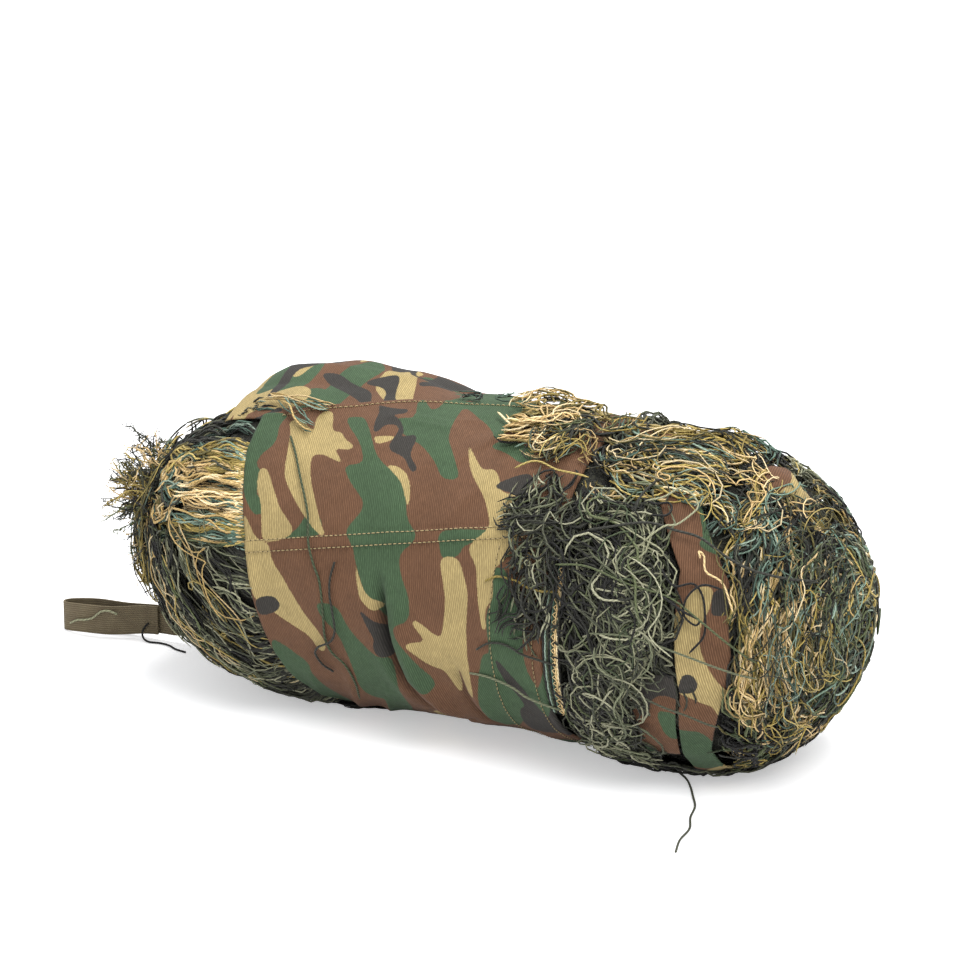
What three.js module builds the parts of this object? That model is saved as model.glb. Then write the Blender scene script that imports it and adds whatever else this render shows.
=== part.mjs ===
import * as THREE from 'three';

// A ghillie suit, jacket and trousers, rolled up and lying on its side.
// X runs along the roll, -Y is the front, +Z is up and the surface it lies on is z = 0. Millimetres.
// Places on the roll are given by x and an angle: 0 front, 90 top, 180 back, 270 or -90 underneath.
// Depth is measured inwards from the face of the wrapped front panel, so a negative depth stands proud.

// Driving dimensions of the roll
const rollLeft = -322;
const rollRight = 296;
const halfWidth = 136;
const halfHeight = 131;
const centreHeight = 127.5;
const leftEndLength = 175;
const rightEndLength = 165;
const rightEndLean = 30;
const endRoundness = 2.3;
const endArc = 150;

// Cloth and thread
const clothThickness = 2.4;
const clothPitch = 3.6;
const seamWidthAngle = 2.2;
const bandThickness = 1;
const bandGap = 0.9;
const edgeGap = 2.5;
const angleGap = 0.35;
const hankDepth = 14;
const hankProud = -3;
const netProud = -27;
const rowAngle = 7.5;
const wideRowAngle = 15;

// Front panel that is wrapped round the roll last
const flapHingeAngle = 56;
const wrapLowerAngle = -112.5;
const wrapRightX = 98;
const rollUnderAngle = -97.5;

// Rolled garment inside
const jacketOuterPly = [7.5, 15.5];
const jacketInnerPly = [18, 40];
const legRoll = { from: -190, to: 165, core: 12, thickness: 12, gap: 1, turns: 2.7 };
const waistband = { from: -150, to: 105, inner: 86, thickness: 3, startAngle: 0, endAngle: 200 };

// Webbing strap, standing on its edge
const strapWidth = 25;
const strapThickness = 2.2;
const strapHeight = 15.5;
const strapPivot = [-276, 14];
const strapTack = [-356, 7];

const colours = {
  camoGreen: 0x42684c,
  camoBrown: 0x765040,
  camoTan: 0xac9864,
  darkThread: 0x35352f,
  greyThread: 0x6a6f5c,
  strawThread: 0xb59f68,
  oliveThread: 0x6f6a3a,
  tealThread: 0x5b7566,
  webbing: 0x5f523c,
  lining: 0x4a4f3c,
};

const suit = new THREE.Group();
suit.name = 'ghillie_suit';

const radians = THREE.MathUtils.degToRad;
const mix = THREE.MathUtils.lerp;

function addPiece(name, geometry, colour, roughness = 0.9) {
  const material = new THREE.MeshStandardMaterial({ color: colour, roughness, metalness: 0 });
  const mesh = new THREE.Mesh(geometry, material);
  mesh.name = name;
  suit.add(mesh);
  return mesh;
}

// --- the roll's surface ---------------------------------------------------------------------

// How full the roll is at x: 1 along its middle, falling to 0 at each rounded end.
function fullness(x, angle) {
  const rightLength = rightEndLength + rightEndLean * Math.sin(radians(angle));
  const left = (rollLeft + leftEndLength - x) / leftEndLength;
  const right = (x - rollRight + rightLength) / rightLength;
  const t = Math.max(left, right, 0);
  return Math.sqrt(Math.max(0, 1 - t ** endRoundness));
}

// Distance along the surface, so that stations lie closer together in x where the ends turn in.
function alongFromX(x) {
  const leftShoulder = rollLeft + leftEndLength;
  const rightShoulder = rollRight - rightEndLength;
  const turn = (t) => endArc * Math.asin(Math.min(1, t) ** (endRoundness / 2));
  if (x < leftShoulder) return leftShoulder - turn((leftShoulder - x) / leftEndLength);
  if (x > rightShoulder) return rightShoulder + turn((x - rightShoulder) / rightEndLength);
  return x;
}

function xFromAlong(s) {
  const leftShoulder = rollLeft + leftEndLength;
  const rightShoulder = rollRight - rightEndLength;
  const unturn = (d) => Math.sin(Math.min(d / endArc, Math.PI / 2)) ** (2 / endRoundness);
  if (s < leftShoulder) return leftShoulder - leftEndLength * unturn(leftShoulder - s);
  if (s > rightShoulder) return rightShoulder + rightEndLength * unturn(s - rightShoulder);
  return s;
}

const mixX = (from, to, t) => xFromAlong(mix(alongFromX(from), alongFromX(to), t));

function skin(x, angle) {
  const r = fullness(x, angle);
  const a = radians(angle);
  return new THREE.Vector3(x, -halfWidth * r * Math.cos(a), centreHeight + halfHeight * r * Math.sin(a));
}

// A point at a depth under the skin. The underside is pressed flat by the surface it lies on.
function under(x, angle, depth) {
  const s = alongFromX(x);
  const step = 0.5;
  const alongRoll = skin(xFromAlong(s + step), angle).sub(skin(xFromAlong(s - step), angle));
  const roundRoll = skin(x, angle + step).sub(skin(x, angle - step));
  const inward = roundRoll.cross(alongRoll).normalize();
  const point = skin(x, angle).addScaledVector(inward, depth);
  point.z = Math.max(point.z, depth, 0);
  return point;
}

// --- builders -------------------------------------------------------------------------------

function signedVolume(positions, index) {
  const corner = (k) => new THREE.Vector3().fromArray(positions, 3 * index[k]);
  let volume = 0;
  for (let k = 0; k < index.length; k += 3) {
    volume += corner(k).dot(corner(k + 1).cross(corner(k + 2)));
  }
  return volume;
}

function closedGeometry(points, index) {
  const positions = points.flatMap((p) => [p.x, p.y, p.z]);
  if (signedVolume(positions, index) < 0) index.reverse();
  const geometry = new THREE.BufferGeometry();
  geometry.setAttribute('position', new THREE.Float32BufferAttribute(positions, 3));
  geometry.setIndex(index);
  return geometry;
}

const quad = (index, a, b, c, d) => index.push(a, b, c, a, c, d);

// A closed piece between two depths, over the patch that layout(u, v) describes as [x, angle].
function layer({ layout, columns, rows, outer, inner }) {
  const depthAt = (depth, u, v) => (typeof depth === 'function' ? depth(u, v, ...layout(u, v)) : depth);
  const points = [];
  for (const depth of [outer, inner]) {
    for (let j = 0; j <= rows; j += 1) {
      for (let i = 0; i <= columns; i += 1) {
        const u = i / columns;
        const v = j / rows;
        points.push(under(...layout(u, v), depthAt(depth, u, v)));
      }
    }
  }
  const width = columns + 1;
  const back = width * (rows + 1);
  const at = (i, j) => j * width + i;
  const index = [];
  for (let j = 0; j < rows; j += 1) {
    for (let i = 0; i < columns; i += 1) {
      quad(index, at(i, j), at(i + 1, j), at(i + 1, j + 1), at(i, j + 1));
      quad(index, back + at(i, j), back + at(i, j + 1), back + at(i + 1, j + 1), back + at(i + 1, j));
    }
    quad(index, at(0, j), at(0, j + 1), back + at(0, j + 1), back + at(0, j));
    quad(index, at(columns, j + 1), at(columns, j), back + at(columns, j), back + at(columns, j + 1));
  }
  for (let i = 0; i < columns; i += 1) {
    quad(index, at(i + 1, 0), at(i, 0), back + at(i, 0), back + at(i + 1, 0));
    quad(index, at(i, rows), at(i + 1, rows), back + at(i + 1, rows), back + at(i, rows));
  }
  return closedGeometry(points, index);
}

// A patch between two angles whose left and right edges may slant.
function sector({ left, right, from, to, columns, outer, inner }) {
  const rows = Math.max(1, Math.round(Math.abs(to - from) / rowAngle));
  const edge = (value, angle) => (typeof value === 'function' ? value(angle) : value);
  const layout = (u, v) => {
    const angle = mix(from + angleGap, to - angleGap, v);
    return [mixX(edge(left, angle), edge(right, angle), u), angle];
  };
  return layer({ layout, columns, rows, outer, inner });
}

// Threads lie thickest along the middle of a hank and thin out at its edges.
function crowned(crest, edge) {
  return (u, v) => mix(edge, crest, Math.min(1, 2.5 * Math.min(u, 1 - u, v, 1 - v) + 0.25));
}

// A tube that goes right round the roll, between two depths.
function sleeveRound({ left, right, columns, outer, inner }) {
  const rows = Math.round(360 / wideRowAngle);
  const points = [];
  for (const depth of [outer, inner]) {
    for (let j = 0; j < rows; j += 1) {
      for (let i = 0; i <= columns; i += 1) {
        points.push(under(mixX(left, right, i / columns), j * wideRowAngle, depth));
      }
    }
  }
  const width = columns + 1;
  const back = width * rows;
  const at = (i, j) => (j % rows) * width + i;
  const index = [];
  for (let j = 0; j < rows; j += 1) {
    for (let i = 0; i < columns; i += 1) {
      quad(index, at(i, j), at(i + 1, j), at(i + 1, j + 1), at(i, j + 1));
      quad(index, back + at(i, j), back + at(i, j + 1), back + at(i + 1, j + 1), back + at(i + 1, j));
    }
    quad(index, at(0, j), at(0, j + 1), back + at(0, j + 1), back + at(0, j));
    quad(index, at(columns, j + 1), at(columns, j), back + at(columns, j), back + at(columns, j + 1));
  }
  return closedGeometry(points, index);
}

// The domed end of the roll, from its tip to the station x.
function endCap({ tip, x, outer, inner }) {
  const segments = 24;
  const rings = 3;
  const points = [];
  for (const depth of [outer, inner]) {
    points.push(new THREE.Vector3(tip - Math.sign(tip) * depth, 0, centreHeight));
    for (let i = 1; i <= rings; i += 1) {
      for (let j = 0; j < segments; j += 1) {
        points.push(under(mixX(tip, x, i / rings), (j * 360) / segments, depth));
      }
    }
  }
  const back = 1 + rings * segments;
  const at = (i, j) => 1 + (i - 1) * segments + (j % segments);
  const index = [];
  for (let j = 0; j < segments; j += 1) {
    index.push(0, at(1, j), at(1, j + 1));
    index.push(back, back + at(1, j + 1), back + at(1, j));
    for (let i = 1; i < rings; i += 1) {
      quad(index, at(i, j), at(i + 1, j), at(i + 1, j + 1), at(i, j + 1));
      quad(index, back + at(i, j), back + at(i, j + 1), back + at(i + 1, j + 1), back + at(i + 1, j));
    }
    quad(index, at(rings, j), back + at(rings, j), back + at(rings, j + 1), at(rings, j + 1));
  }
  return closedGeometry(points, index);
}

// A section drawn in the YZ plane as [y, z] pairs and extruded along X.
function alongX(outline, from, to) {
  const shape = new THREE.Shape(outline.map(([y, z]) => new THREE.Vector2(y, z)));
  const geometry = new THREE.ExtrudeGeometry(shape, { depth: to - from, bevelEnabled: false });
  const turned = new THREE.Matrix4().set(0, 0, 1, from, 1, 0, 0, 0, 0, 1, 0, 0, 0, 0, 0, 1);
  return geometry.applyMatrix4(turned);
}

// A section drawn in the XY plane as [x, y] pairs and extruded upwards.
function upright(outline, from, to) {
  const shape = new THREE.Shape(outline.map(([x, y]) => new THREE.Vector2(x, y)));
  const geometry = new THREE.ExtrudeGeometry(shape, { depth: to - from, bevelEnabled: false });
  return geometry.translate(0, 0, from);
}

// A loose thread along a route of points.
function thread(route, diameter) {
  const curve = new THREE.CatmullRomCurve3(route, false, 'centripetal');
  const sides = 8;
  const section = new THREE.Shape();
  for (let k = 0; k < sides; k += 1) {
    const a = (k * 2 * Math.PI) / sides;
    const corner = [(diameter / 2) * Math.cos(a), (diameter / 2) * Math.sin(a)];
    if (k === 0) section.moveTo(...corner);
    else section.lineTo(...corner);
  }
  const steps = Math.min(80, Math.ceil(curve.getLength() / (3 * diameter)));
  return new THREE.ExtrudeGeometry(section, { steps, extrudePath: curve, bevelEnabled: false });
}

// --- edges of the wrapped front panel --------------------------------------------------------

// Straight runs between a few [position, value] points.
function runs(points) {
  return (at) => {
    const next = points.findIndex(([p]) => p >= at);
    if (next <= 0) return next === 0 ? points[0][1] : points[points.length - 1][1];
    const [p0, v0] = points[next - 1];
    const [p1, v1] = points[next];
    return mix(v0, v1, (at - p0) / (p1 - p0));
  };
}

const wrapLeft = runs([[-112.5, -118], [-60, -129], [-45, -145], [-15, -155], [15, -168], [45, -188], [60, -190]]);
const freeEdge = runs([[-190, 61], [-141, 69], [-73, 82], [3, 90], [98, 93]]);
const stripLeft = runs([[-82.5, 190], [-45, 196], [-15, 206], [0, 203], [30, 198], [60, 156], [75, 150]]);
const stripRight = runs([[-82.5, 214], [-45, 217], [-15, 237], [0, 240], [30, 232], [60, 190], [75, 184]]);

const seamStartX = -165;
const seamStartAngle = 11.5;
const seamRise = 0.0915;
const seamAngle = (x) => seamStartAngle + seamRise * (x - seamStartX);

// --- wrapped front panel, its seam and its free flap -----------------------------------------

function buildWrap() {
  const columns = 8;
  const cloth = { outer: 0, inner: clothThickness };
  const seamX = (u) => mix(seamStartX, wrapRightX, u);
  const spread = (u, angle) => [mix(wrapLeft(angle), wrapRightX, u), angle];
  const lower = (u, v) => spread(u, mix(wrapLowerAngle, seamAngle(seamX(u)) - angleGap, v));
  const upper = (u, v) => spread(u, mix(seamAngle(seamX(u)) + angleGap, flapHingeAngle - angleGap, v));
  const flap = (u, v) => {
    const x = mix(wrapLeft(flapHingeAngle), wrapRightX, u);
    return [x, mix(flapHingeAngle + angleGap, freeEdge(x), v)];
  };
  addPiece('wrap_lower_panel', layer({ layout: lower, columns, rows: 17, ...cloth }), colours.camoBrown);
  addPiece('wrap_upper_panel', layer({ layout: upper, columns, rows: 5, ...cloth }), colours.camoGreen);
  addPiece('wrap_flap', layer({ layout: flap, columns, rows: 4, ...cloth }), colours.camoTan);

  const tuft = { left: 42, right: wrapRightX - 2, from: 60, to: 82.5, columns: 3 };
  addPiece('flap_tuft', sector({ ...tuft, outer: crowned(-6, -3), inner: -bandGap }), colours.strawThread);

  const proud = { outer: -bandGap - bandThickness, inner: -bandGap };
  const band = (u, v) => {
    const x = mix(seamStartX + 3, wrapRightX - 3, u);
    return [x, seamAngle(x) + mix(-seamWidthAngle, seamWidthAngle, v)];
  };
  addPiece('felled_seam', layer({ layout: band, columns: 16, rows: 1, ...proud }), colours.camoBrown);
  const hem = { left: wrapRightX - 13, right: wrapRightX - 1, from: -30, to: 22.5, columns: 1 };
  addPiece('wrap_side_hem', sector({ ...hem, ...proud }), colours.camoBrown);
  const tape = { left: wrapRightX + 4, right: wrapRightX + 18, from: -22.5, to: 22.5, columns: 1 };
  addPiece('fringe_header_tape', sector({ ...tape, outer: 0, inner: clothThickness }), colours.darkThread);
}

// --- camo panels that show beside the wrap ---------------------------------------------------

function buildPanels() {
  // The back panel swells at its upper left, where the roll is thickest.
  const swell = (u, v, x, angle) => {
    const alongSwell = THREE.MathUtils.smoothstep(x, -245, -210) * (1 - THREE.MathUtils.smoothstep(x, -110, -60));
    const roundSwell = THREE.MathUtils.smoothstep(angle, 84, 96) * (1 - THREE.MathUtils.smoothstep(angle, 120, 150));
    return clothPitch - 9 * alongSwell * roundSwell;
  };
  const backLeft = runs([[60, -232], [112.5, -236], [127.5, -205], [255, -195]]);
  const back = { left: backLeft, right: wrapRightX - 2, from: 60, to: 255, columns: 8 };
  const backDepths = { outer: swell, inner: (u, v, x, angle) => swell(u, v, x, angle) + clothThickness };
  addPiece('jacket_back_panel', sector({ ...back, ...backDepths }), colours.camoGreen);

  const cloth = { outer: 0, inner: clothThickness };
  const strip = { left: stripLeft, right: stripRight, from: -82.5, to: 60, columns: 2 };
  addPiece('sleeve_strip', sector({ ...strip, ...cloth }), colours.camoTan);
  const side = { left: 168, right: (angle) => stripLeft(angle) - edgeGap, from: -45, to: -7.5, columns: 2 };
  addPiece('side_panel', sector({ ...side, ...cloth }), colours.camoGreen);
  const hood = { left: 205, right: 248, from: 75, to: 97.5, columns: 2, outer: -9.4, inner: -7.2 };
  addPiece('hood_edge', sector(hood), colours.camoTan);
  const collar = { left: 104, right: 150, from: 82.5, to: 97.5, columns: 2, outer: -9.4, inner: -7.2 };
  addPiece('collar_edge', sector(collar), colours.camoGreen);
}

// --- thread hanks ------------------------------------------------------------------------------

const leftTipStation = -300;
const rightTipStation = 275;

function buildLeftHanks() {
  const wrapSide = (angle) => wrapLeft(angle) - edgeGap;
  const hank = { columns: 4, outer: crowned(hankProud, 1), inner: hankDepth };
  const left = leftTipStation;
  const front = { left, right: wrapSide, ...hank };
  addPiece('left_black_hank', sector({ ...front, from: 45, to: 60 }), colours.darkThread);
  addPiece('left_straw_hank', sector({ ...front, from: 15, to: 45 }), colours.strawThread);
  addPiece('left_olive_hank', sector({ ...front, from: -22.5, to: 15 }), colours.oliveThread);
  addPiece('left_dark_hank', sector({ ...front, from: -67.5, to: -22.5 }), colours.greyThread);
  addPiece('left_under_hank', sector({ ...front, columns: 8, from: -90, to: -67.5 }), colours.darkThread);
  const backSide = runs([[112.5, -239], [127.5, -208], [262.5, -198]]);
  const rear = { left, right: backSide, ...hank };
  addPiece('left_rear_upper_hank', sector({ ...rear, from: 112.5, to: 180 }), colours.oliveThread);
  addPiece('left_rear_lower_hank', sector({ ...rear, columns: 6, from: 180, to: 255 }), colours.greyThread);
  const crown = { left, right: -239, from: 60, to: 112.5, ...hank, columns: 2 };
  addPiece('left_crown_hank', sector(crown), colours.darkThread);
  const cap = { tip: rollLeft, x: leftTipStation - 4, outer: 0, inner: hankDepth };
  addPiece('left_end_hank', endCap(cap), colours.darkThread);
  const tuft = { left: -318, right: -284, columns: 3, inner: hankProud - 1 };
  const upperTuft = { ...tuft, from: 15, to: 60, outer: crowned(netProud, -12) };
  addPiece('net_tuft_upper', sector(upperTuft), colours.darkThread);
  const lowerTuft = { ...tuft, from: -37.5, to: 0, outer: crowned(netProud / 2, -7) };
  addPiece('net_tuft_lower', sector(lowerTuft), colours.strawThread);
}

function buildRightHanks() {
  const hank = { columns: 4, outer: crowned(hankProud, 1), inner: hankDepth };
  const underStrip = (angle) => stripLeft(angle) + 8;
  const black = { left: 62, right: underStrip, from: rollUnderAngle, to: 60, columns: 5 };
  addPiece('black_under_hank', sector({ ...black, outer: clothPitch, inner: 12.5 }), colours.darkThread);
  const proud = { outer: crowned(-9, -4), inner: -bandGap - bandThickness - 0.5 };
  const greyUpper = { left: 66, right: (angle) => stripLeft(angle) - 12, from: 22.5, to: 52.5, columns: 4 };
  addPiece('grey_upper_hank', sector({ ...greyUpper, ...proud }), colours.greyThread);
  const greyMiddle = { left: wrapRightX + 20, right: 186, from: 0, to: 22.5, columns: 3 };
  addPiece('grey_middle_hank', sector({ ...greyMiddle, ...proud }), colours.greyThread);
  const greyLower = { left: wrapRightX + 20, right: 190, from: -37.5, to: 0, columns: 3 };
  addPiece('grey_lower_hank', sector({ ...greyLower, ...proud }), colours.greyThread);

  const top = { from: 60, to: 97.5, columns: 4, outer: crowned(-6, -1), inner: 12.5 };
  addPiece('top_front_hank', sector({ ...top, left: wrapRightX + edgeGap, right: 182 }), colours.strawThread);
  addPiece('top_end_hank', sector({ ...top, left: 184, right: rightTipStation }), colours.tealThread);

  const stripSide = (angle) => stripRight(angle) + edgeGap;
  const cascade = { left: stripSide, right: rightTipStation, ...hank, columns: 3 };
  addPiece('cascade_teal_hank', sector({ ...cascade, from: 30, to: 60 }), colours.tealThread);
  addPiece('cascade_straw_hank', sector({ ...cascade, from: -15, to: 30 }), colours.strawThread);
  addPiece('cascade_olive_hank', sector({ ...cascade, from: -60, to: -15 }), colours.oliveThread);
  const bottom = { ...cascade, from: rollUnderAngle + 1, to: -60 };
  addPiece('bottom_fringe', sector(bottom), colours.darkThread);
  const rear = { left: wrapRightX + edgeGap, right: rightTipStation, ...hank, columns: 6 };
  addPiece('right_rear_upper_hank', sector({ ...rear, from: 97.5, to: 180 }), colours.greyThread);
  addPiece('right_rear_lower_hank', sector({ ...rear, from: 180, to: 262.5 }), colours.oliveThread);
  const cap = { tip: rollRight, x: rightTipStation + 4, outer: 0, inner: hankDepth };
  addPiece('right_end_hank', endCap(cap), colours.darkThread);
}

// --- rolled garment inside --------------------------------------------------------------------

function buildInside() {
  const [outerFace, outerBack] = jacketOuterPly;
  const outerPly = { left: -112, right: 52, columns: 3, outer: outerFace, inner: outerBack };
  addPiece('jacket_outer_ply', sleeveRound(outerPly), colours.camoGreen);
  const [innerFace, innerBack] = jacketInnerPly;
  const innerPly = { left: -262, right: 235, columns: 8, outer: innerFace, inner: innerBack };
  addPiece('jacket_inner_ply', sleeveRound(innerPly), colours.camoBrown);

  // The two legs are rolled up together as a double spiral.
  const pitch = 2 * (legRoll.thickness + legRoll.gap);
  const steps = Math.round(legRoll.turns * 24);
  const spiral = (start) => {
    const at = (k, r) => {
      const a = radians(start + (k * 360) / 24);
      return [r * Math.cos(a), centreHeight + r * Math.sin(a)];
    };
    const radius = (k) => legRoll.core + (pitch * k) / 24;
    const outside = Array.from({ length: steps + 1 }, (_, k) => at(k, radius(k)));
    const inside = Array.from({ length: steps + 1 }, (_, k) => at(k, radius(k) - legRoll.thickness + 3));
    return [...outside, ...inside.reverse()];
  };
  addPiece('trouser_leg_left', alongX(spiral(0), legRoll.from, legRoll.to), colours.camoGreen);
  addPiece('trouser_leg_right', alongX(spiral(180), legRoll.from, legRoll.to), colours.camoBrown);

  const arc = (r, backwards) => Array.from({ length: 21 }, (_, k) => {
    const t = backwards ? 1 - k / 20 : k / 20;
    const a = radians(mix(waistband.startAngle, waistband.endAngle, t));
    return [r * Math.cos(a), centreHeight + r * Math.sin(a)];
  });
  const band = [...arc(waistband.inner + waistband.thickness, false), ...arc(waistband.inner, true)];
  addPiece('trouser_waistband', alongX(band, waistband.from, waistband.to), colours.lining);

  // Thread sewn to the trouser cuffs fills each end of the roll.
  const ends = [['left_inner_hank', -1, -194, -290], ['right_inner_hank', 1, 169, 262]];
  for (const [name, side, near, far] of ends) {
    const length = Math.abs(far - near);
    const profile = [[0, 0], [62, 0], [68, 0.25 * length], [60, 0.6 * length], [36, 0.9 * length], [0, length]];
    const lathe = new THREE.LatheGeometry(profile.map(([r, h]) => new THREE.Vector2(r, h)), 20);
    lathe.rotateZ(-side * Math.PI / 2);
    addPiece(name, lathe.translate(near, 0, centreHeight), colours.darkThread);
  }
}

// --- webbing strap -----------------------------------------------------------------------------

// A ribbon of webbing that follows [x, y] points, as a closed outline.
function ribbon(points, thickness) {
  const curve = new THREE.CatmullRomCurve3(points.map(([x, y]) => new THREE.Vector3(x, y, 0)));
  const count = points.length === 2 ? 1 : 4 * (points.length - 1);
  const side = (offset) => Array.from({ length: count + 1 }, (_, k) => {
    const p = curve.getPoint(k / count);
    const t = curve.getTangent(k / count);
    return [p.x - t.y * offset, p.y + t.x * offset];
  });
  return [...side(thickness / 2), ...side(-thickness / 2).reverse()];
}

function buildStrap() {
  const low = strapHeight - strapWidth / 2;
  const high = strapHeight + strapWidth / 2;
  const [pivotX, pivotY] = strapPivot;
  const [tackX, tackY] = strapTack;
  const anchor = ribbon([[pivotX + 1, pivotY], [pivotX + 34, pivotY]], strapThickness);
  addPiece('strap_anchor', upright(anchor, low, high), colours.webbing);
  const run = ribbon([[pivotX - 1, pivotY], [tackX + 1, tackY]], strapThickness);
  addPiece('strap_run', upright(run, low, high), colours.webbing);
  const loop = [
    [tackX - 1.5, tackY], [-380, 5], [-408, 2], [-423, -1],
    [-429, -7], [-423, -13], [-400, -13], [-376, -7], [tackX - 1.5, tackY - 4],
  ];
  addPiece('strap_loop', upright(ribbon(loop, strapThickness), low, high), colours.webbing);
  const tack = ribbon([[tackX + 13, tackY - 1.6], [tackX + 2, tackY - 2.6]], 2);
  addPiece('strap_bar_tack', upright(tack, low + 1, high - 1), colours.webbing);
}

// --- loose threads -------------------------------------------------------------------------------

const threadSize = 1.8;
const onRoll = (route) => route.map(([x, angle, lift]) => under(x, angle, -lift));
const inSpace = (route) => route.map(([x, y, z]) => new THREE.Vector3(x, y, z));

const threads = {
  thread_green: onRoll([
    [-152, 52, 1.6], [-141, 46, 1.6], [-129, 38, 1.6], [-119, 31, 1.6], [-112, 25, 2.4], [-107, 17, 3.8],
    [-101, 10, 2.4], [-95, 4, 1.6], [-93, -8, 1.6], [-94, -16, 1.6], [-91, -22, 1.6], [-82, -27, 1.6],
    [-80, -36, 1.6], [-86, -46, 1.6], [-95, -56, 1.6],
  ]),
  thread_black: onRoll([
    [-83, 12, 1.6], [-86, 6, 1.6], [-86, 0, 1.6], [-84, -6, 1.7], [-83, -12, 2.8], [-87, -16, 4],
    [-94, -18, 4.6], [-101, -20, 3.6], [-107, -24, 1.8], [-104, -29, 1.6], [-96, -32, 1.6],
  ]),
  thread_dark: onRoll([
    [42, -9, 1.6], [52, -6, 1.6], [63, -5, 1.6], [74, -6, 2], [82, -7, 3.7], [98, -8, 3.7], [110, -9, 2.6],
  ]),
  thread_grey: onRoll([
    [33, -19, 1.6], [45, -19, 1.6], [57, -20, 1.6], [70, -22, 1.8], [80, -24, 3.6], [96, -26, 3.8], [108, -28, 1.8],
  ]),
  thread_olive: onRoll([
    [48, 15, 1.6], [57, 17, 1.6], [67, 17, 1.6], [76, 16.5, 2.2], [84, 15.5, 3.7], [98, 15, 3.7], [110, 16, 2.4],
  ]),
  thread_floor: inSpace([
    [168, -46, 1.2], [181, -57, 1.2], [191, -70, 1.2], [201, -86, 1.2], [211, -103, 1.2], [217, -123, 1.2],
    [226, -143, 1.2], [229, -165, 1.2], [236, -186, 1.2],
  ]),
  thread_strap: inSpace([
    [-350, 1.6, 15], [-353, 0, 11], [-354, -2, 6.5], [-351, -4, 2.6], [-345, -5, 1.2], [-336, -3, 1.2],
    [-326, -4, 1.2], [-316, -9, 1.2], [-305, -11, 1.2],
  ]),
  thread_loop: inSpace([
    [-417, -16.4, 9], [-410, -16.5, 13], [-402, -16, 14.5], [-395, -15, 17], [-391, -14, 20.5], [-387, -13, 23.5],
    [-381, -11.4, 24.5], [-374, -9, 22],
  ]),
};

function buildThreads() {
  for (const [name, route] of Object.entries(threads)) {
    addPiece(name, thread(route, threadSize), colours.oliveThread);
  }
}

buildWrap();
buildPanels();
buildLeftHanks();
buildRightHanks();
buildInside();
buildStrap();
buildThreads();

export default suit;
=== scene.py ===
import math
import bpy
import bmesh
import numpy as np
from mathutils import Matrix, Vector


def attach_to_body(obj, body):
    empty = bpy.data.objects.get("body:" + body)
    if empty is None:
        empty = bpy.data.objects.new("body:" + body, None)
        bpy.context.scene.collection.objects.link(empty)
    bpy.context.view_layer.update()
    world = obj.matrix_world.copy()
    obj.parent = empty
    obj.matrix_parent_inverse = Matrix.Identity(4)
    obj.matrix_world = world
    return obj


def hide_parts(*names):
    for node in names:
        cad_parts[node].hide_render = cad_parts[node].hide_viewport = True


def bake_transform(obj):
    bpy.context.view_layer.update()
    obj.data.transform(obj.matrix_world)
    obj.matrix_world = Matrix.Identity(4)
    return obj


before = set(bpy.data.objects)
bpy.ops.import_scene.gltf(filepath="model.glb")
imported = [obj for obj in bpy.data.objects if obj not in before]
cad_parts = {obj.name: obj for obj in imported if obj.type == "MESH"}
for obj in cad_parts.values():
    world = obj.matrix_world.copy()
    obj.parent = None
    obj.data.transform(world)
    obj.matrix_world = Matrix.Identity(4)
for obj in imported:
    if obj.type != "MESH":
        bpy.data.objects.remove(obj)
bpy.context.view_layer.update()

metre = 0.001  # sizes below are millimetres
roll = dict(left=-322, right=296, halfWidth=136, halfHeight=131, centreHeight=127.5,
            leftEnd=175, rightEnd=165, lean=30, roundness=2.3, endArc=150)
wrapRight = 98
hinge = 56  # angle of the flap's fold
scene = bpy.context.scene


def note(text):
    print("ghillie suit:", text)


# camera, floor and light

def makeCamera():
    view = dict(azimuth=29, elevation=18, distance=3.0, lens=140, aside=-0.0189, above=0.0646)
    a = math.radians(view["azimuth"])
    e = math.radians(view["elevation"])
    back = Vector((math.sin(a) * math.cos(e), -math.cos(a) * math.cos(e), math.sin(e)))
    right = Vector((math.cos(a), math.sin(a), 0))
    up = back.cross(right)
    aim = Vector((0, 0, 0.12)) + right * view["aside"] + up * view["above"]
    data = bpy.data.cameras.new("camera")
    data.lens = view["lens"]
    data.sensor_width = 36
    camera = bpy.data.objects.new("camera", data)
    camera.location = aim + back * view["distance"]
    camera.rotation_mode = "QUATERNION"
    camera.rotation_quaternion = (-back).to_track_quat("-Z", "Y")
    scene.collection.objects.link(camera)
    scene.camera = camera


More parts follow.
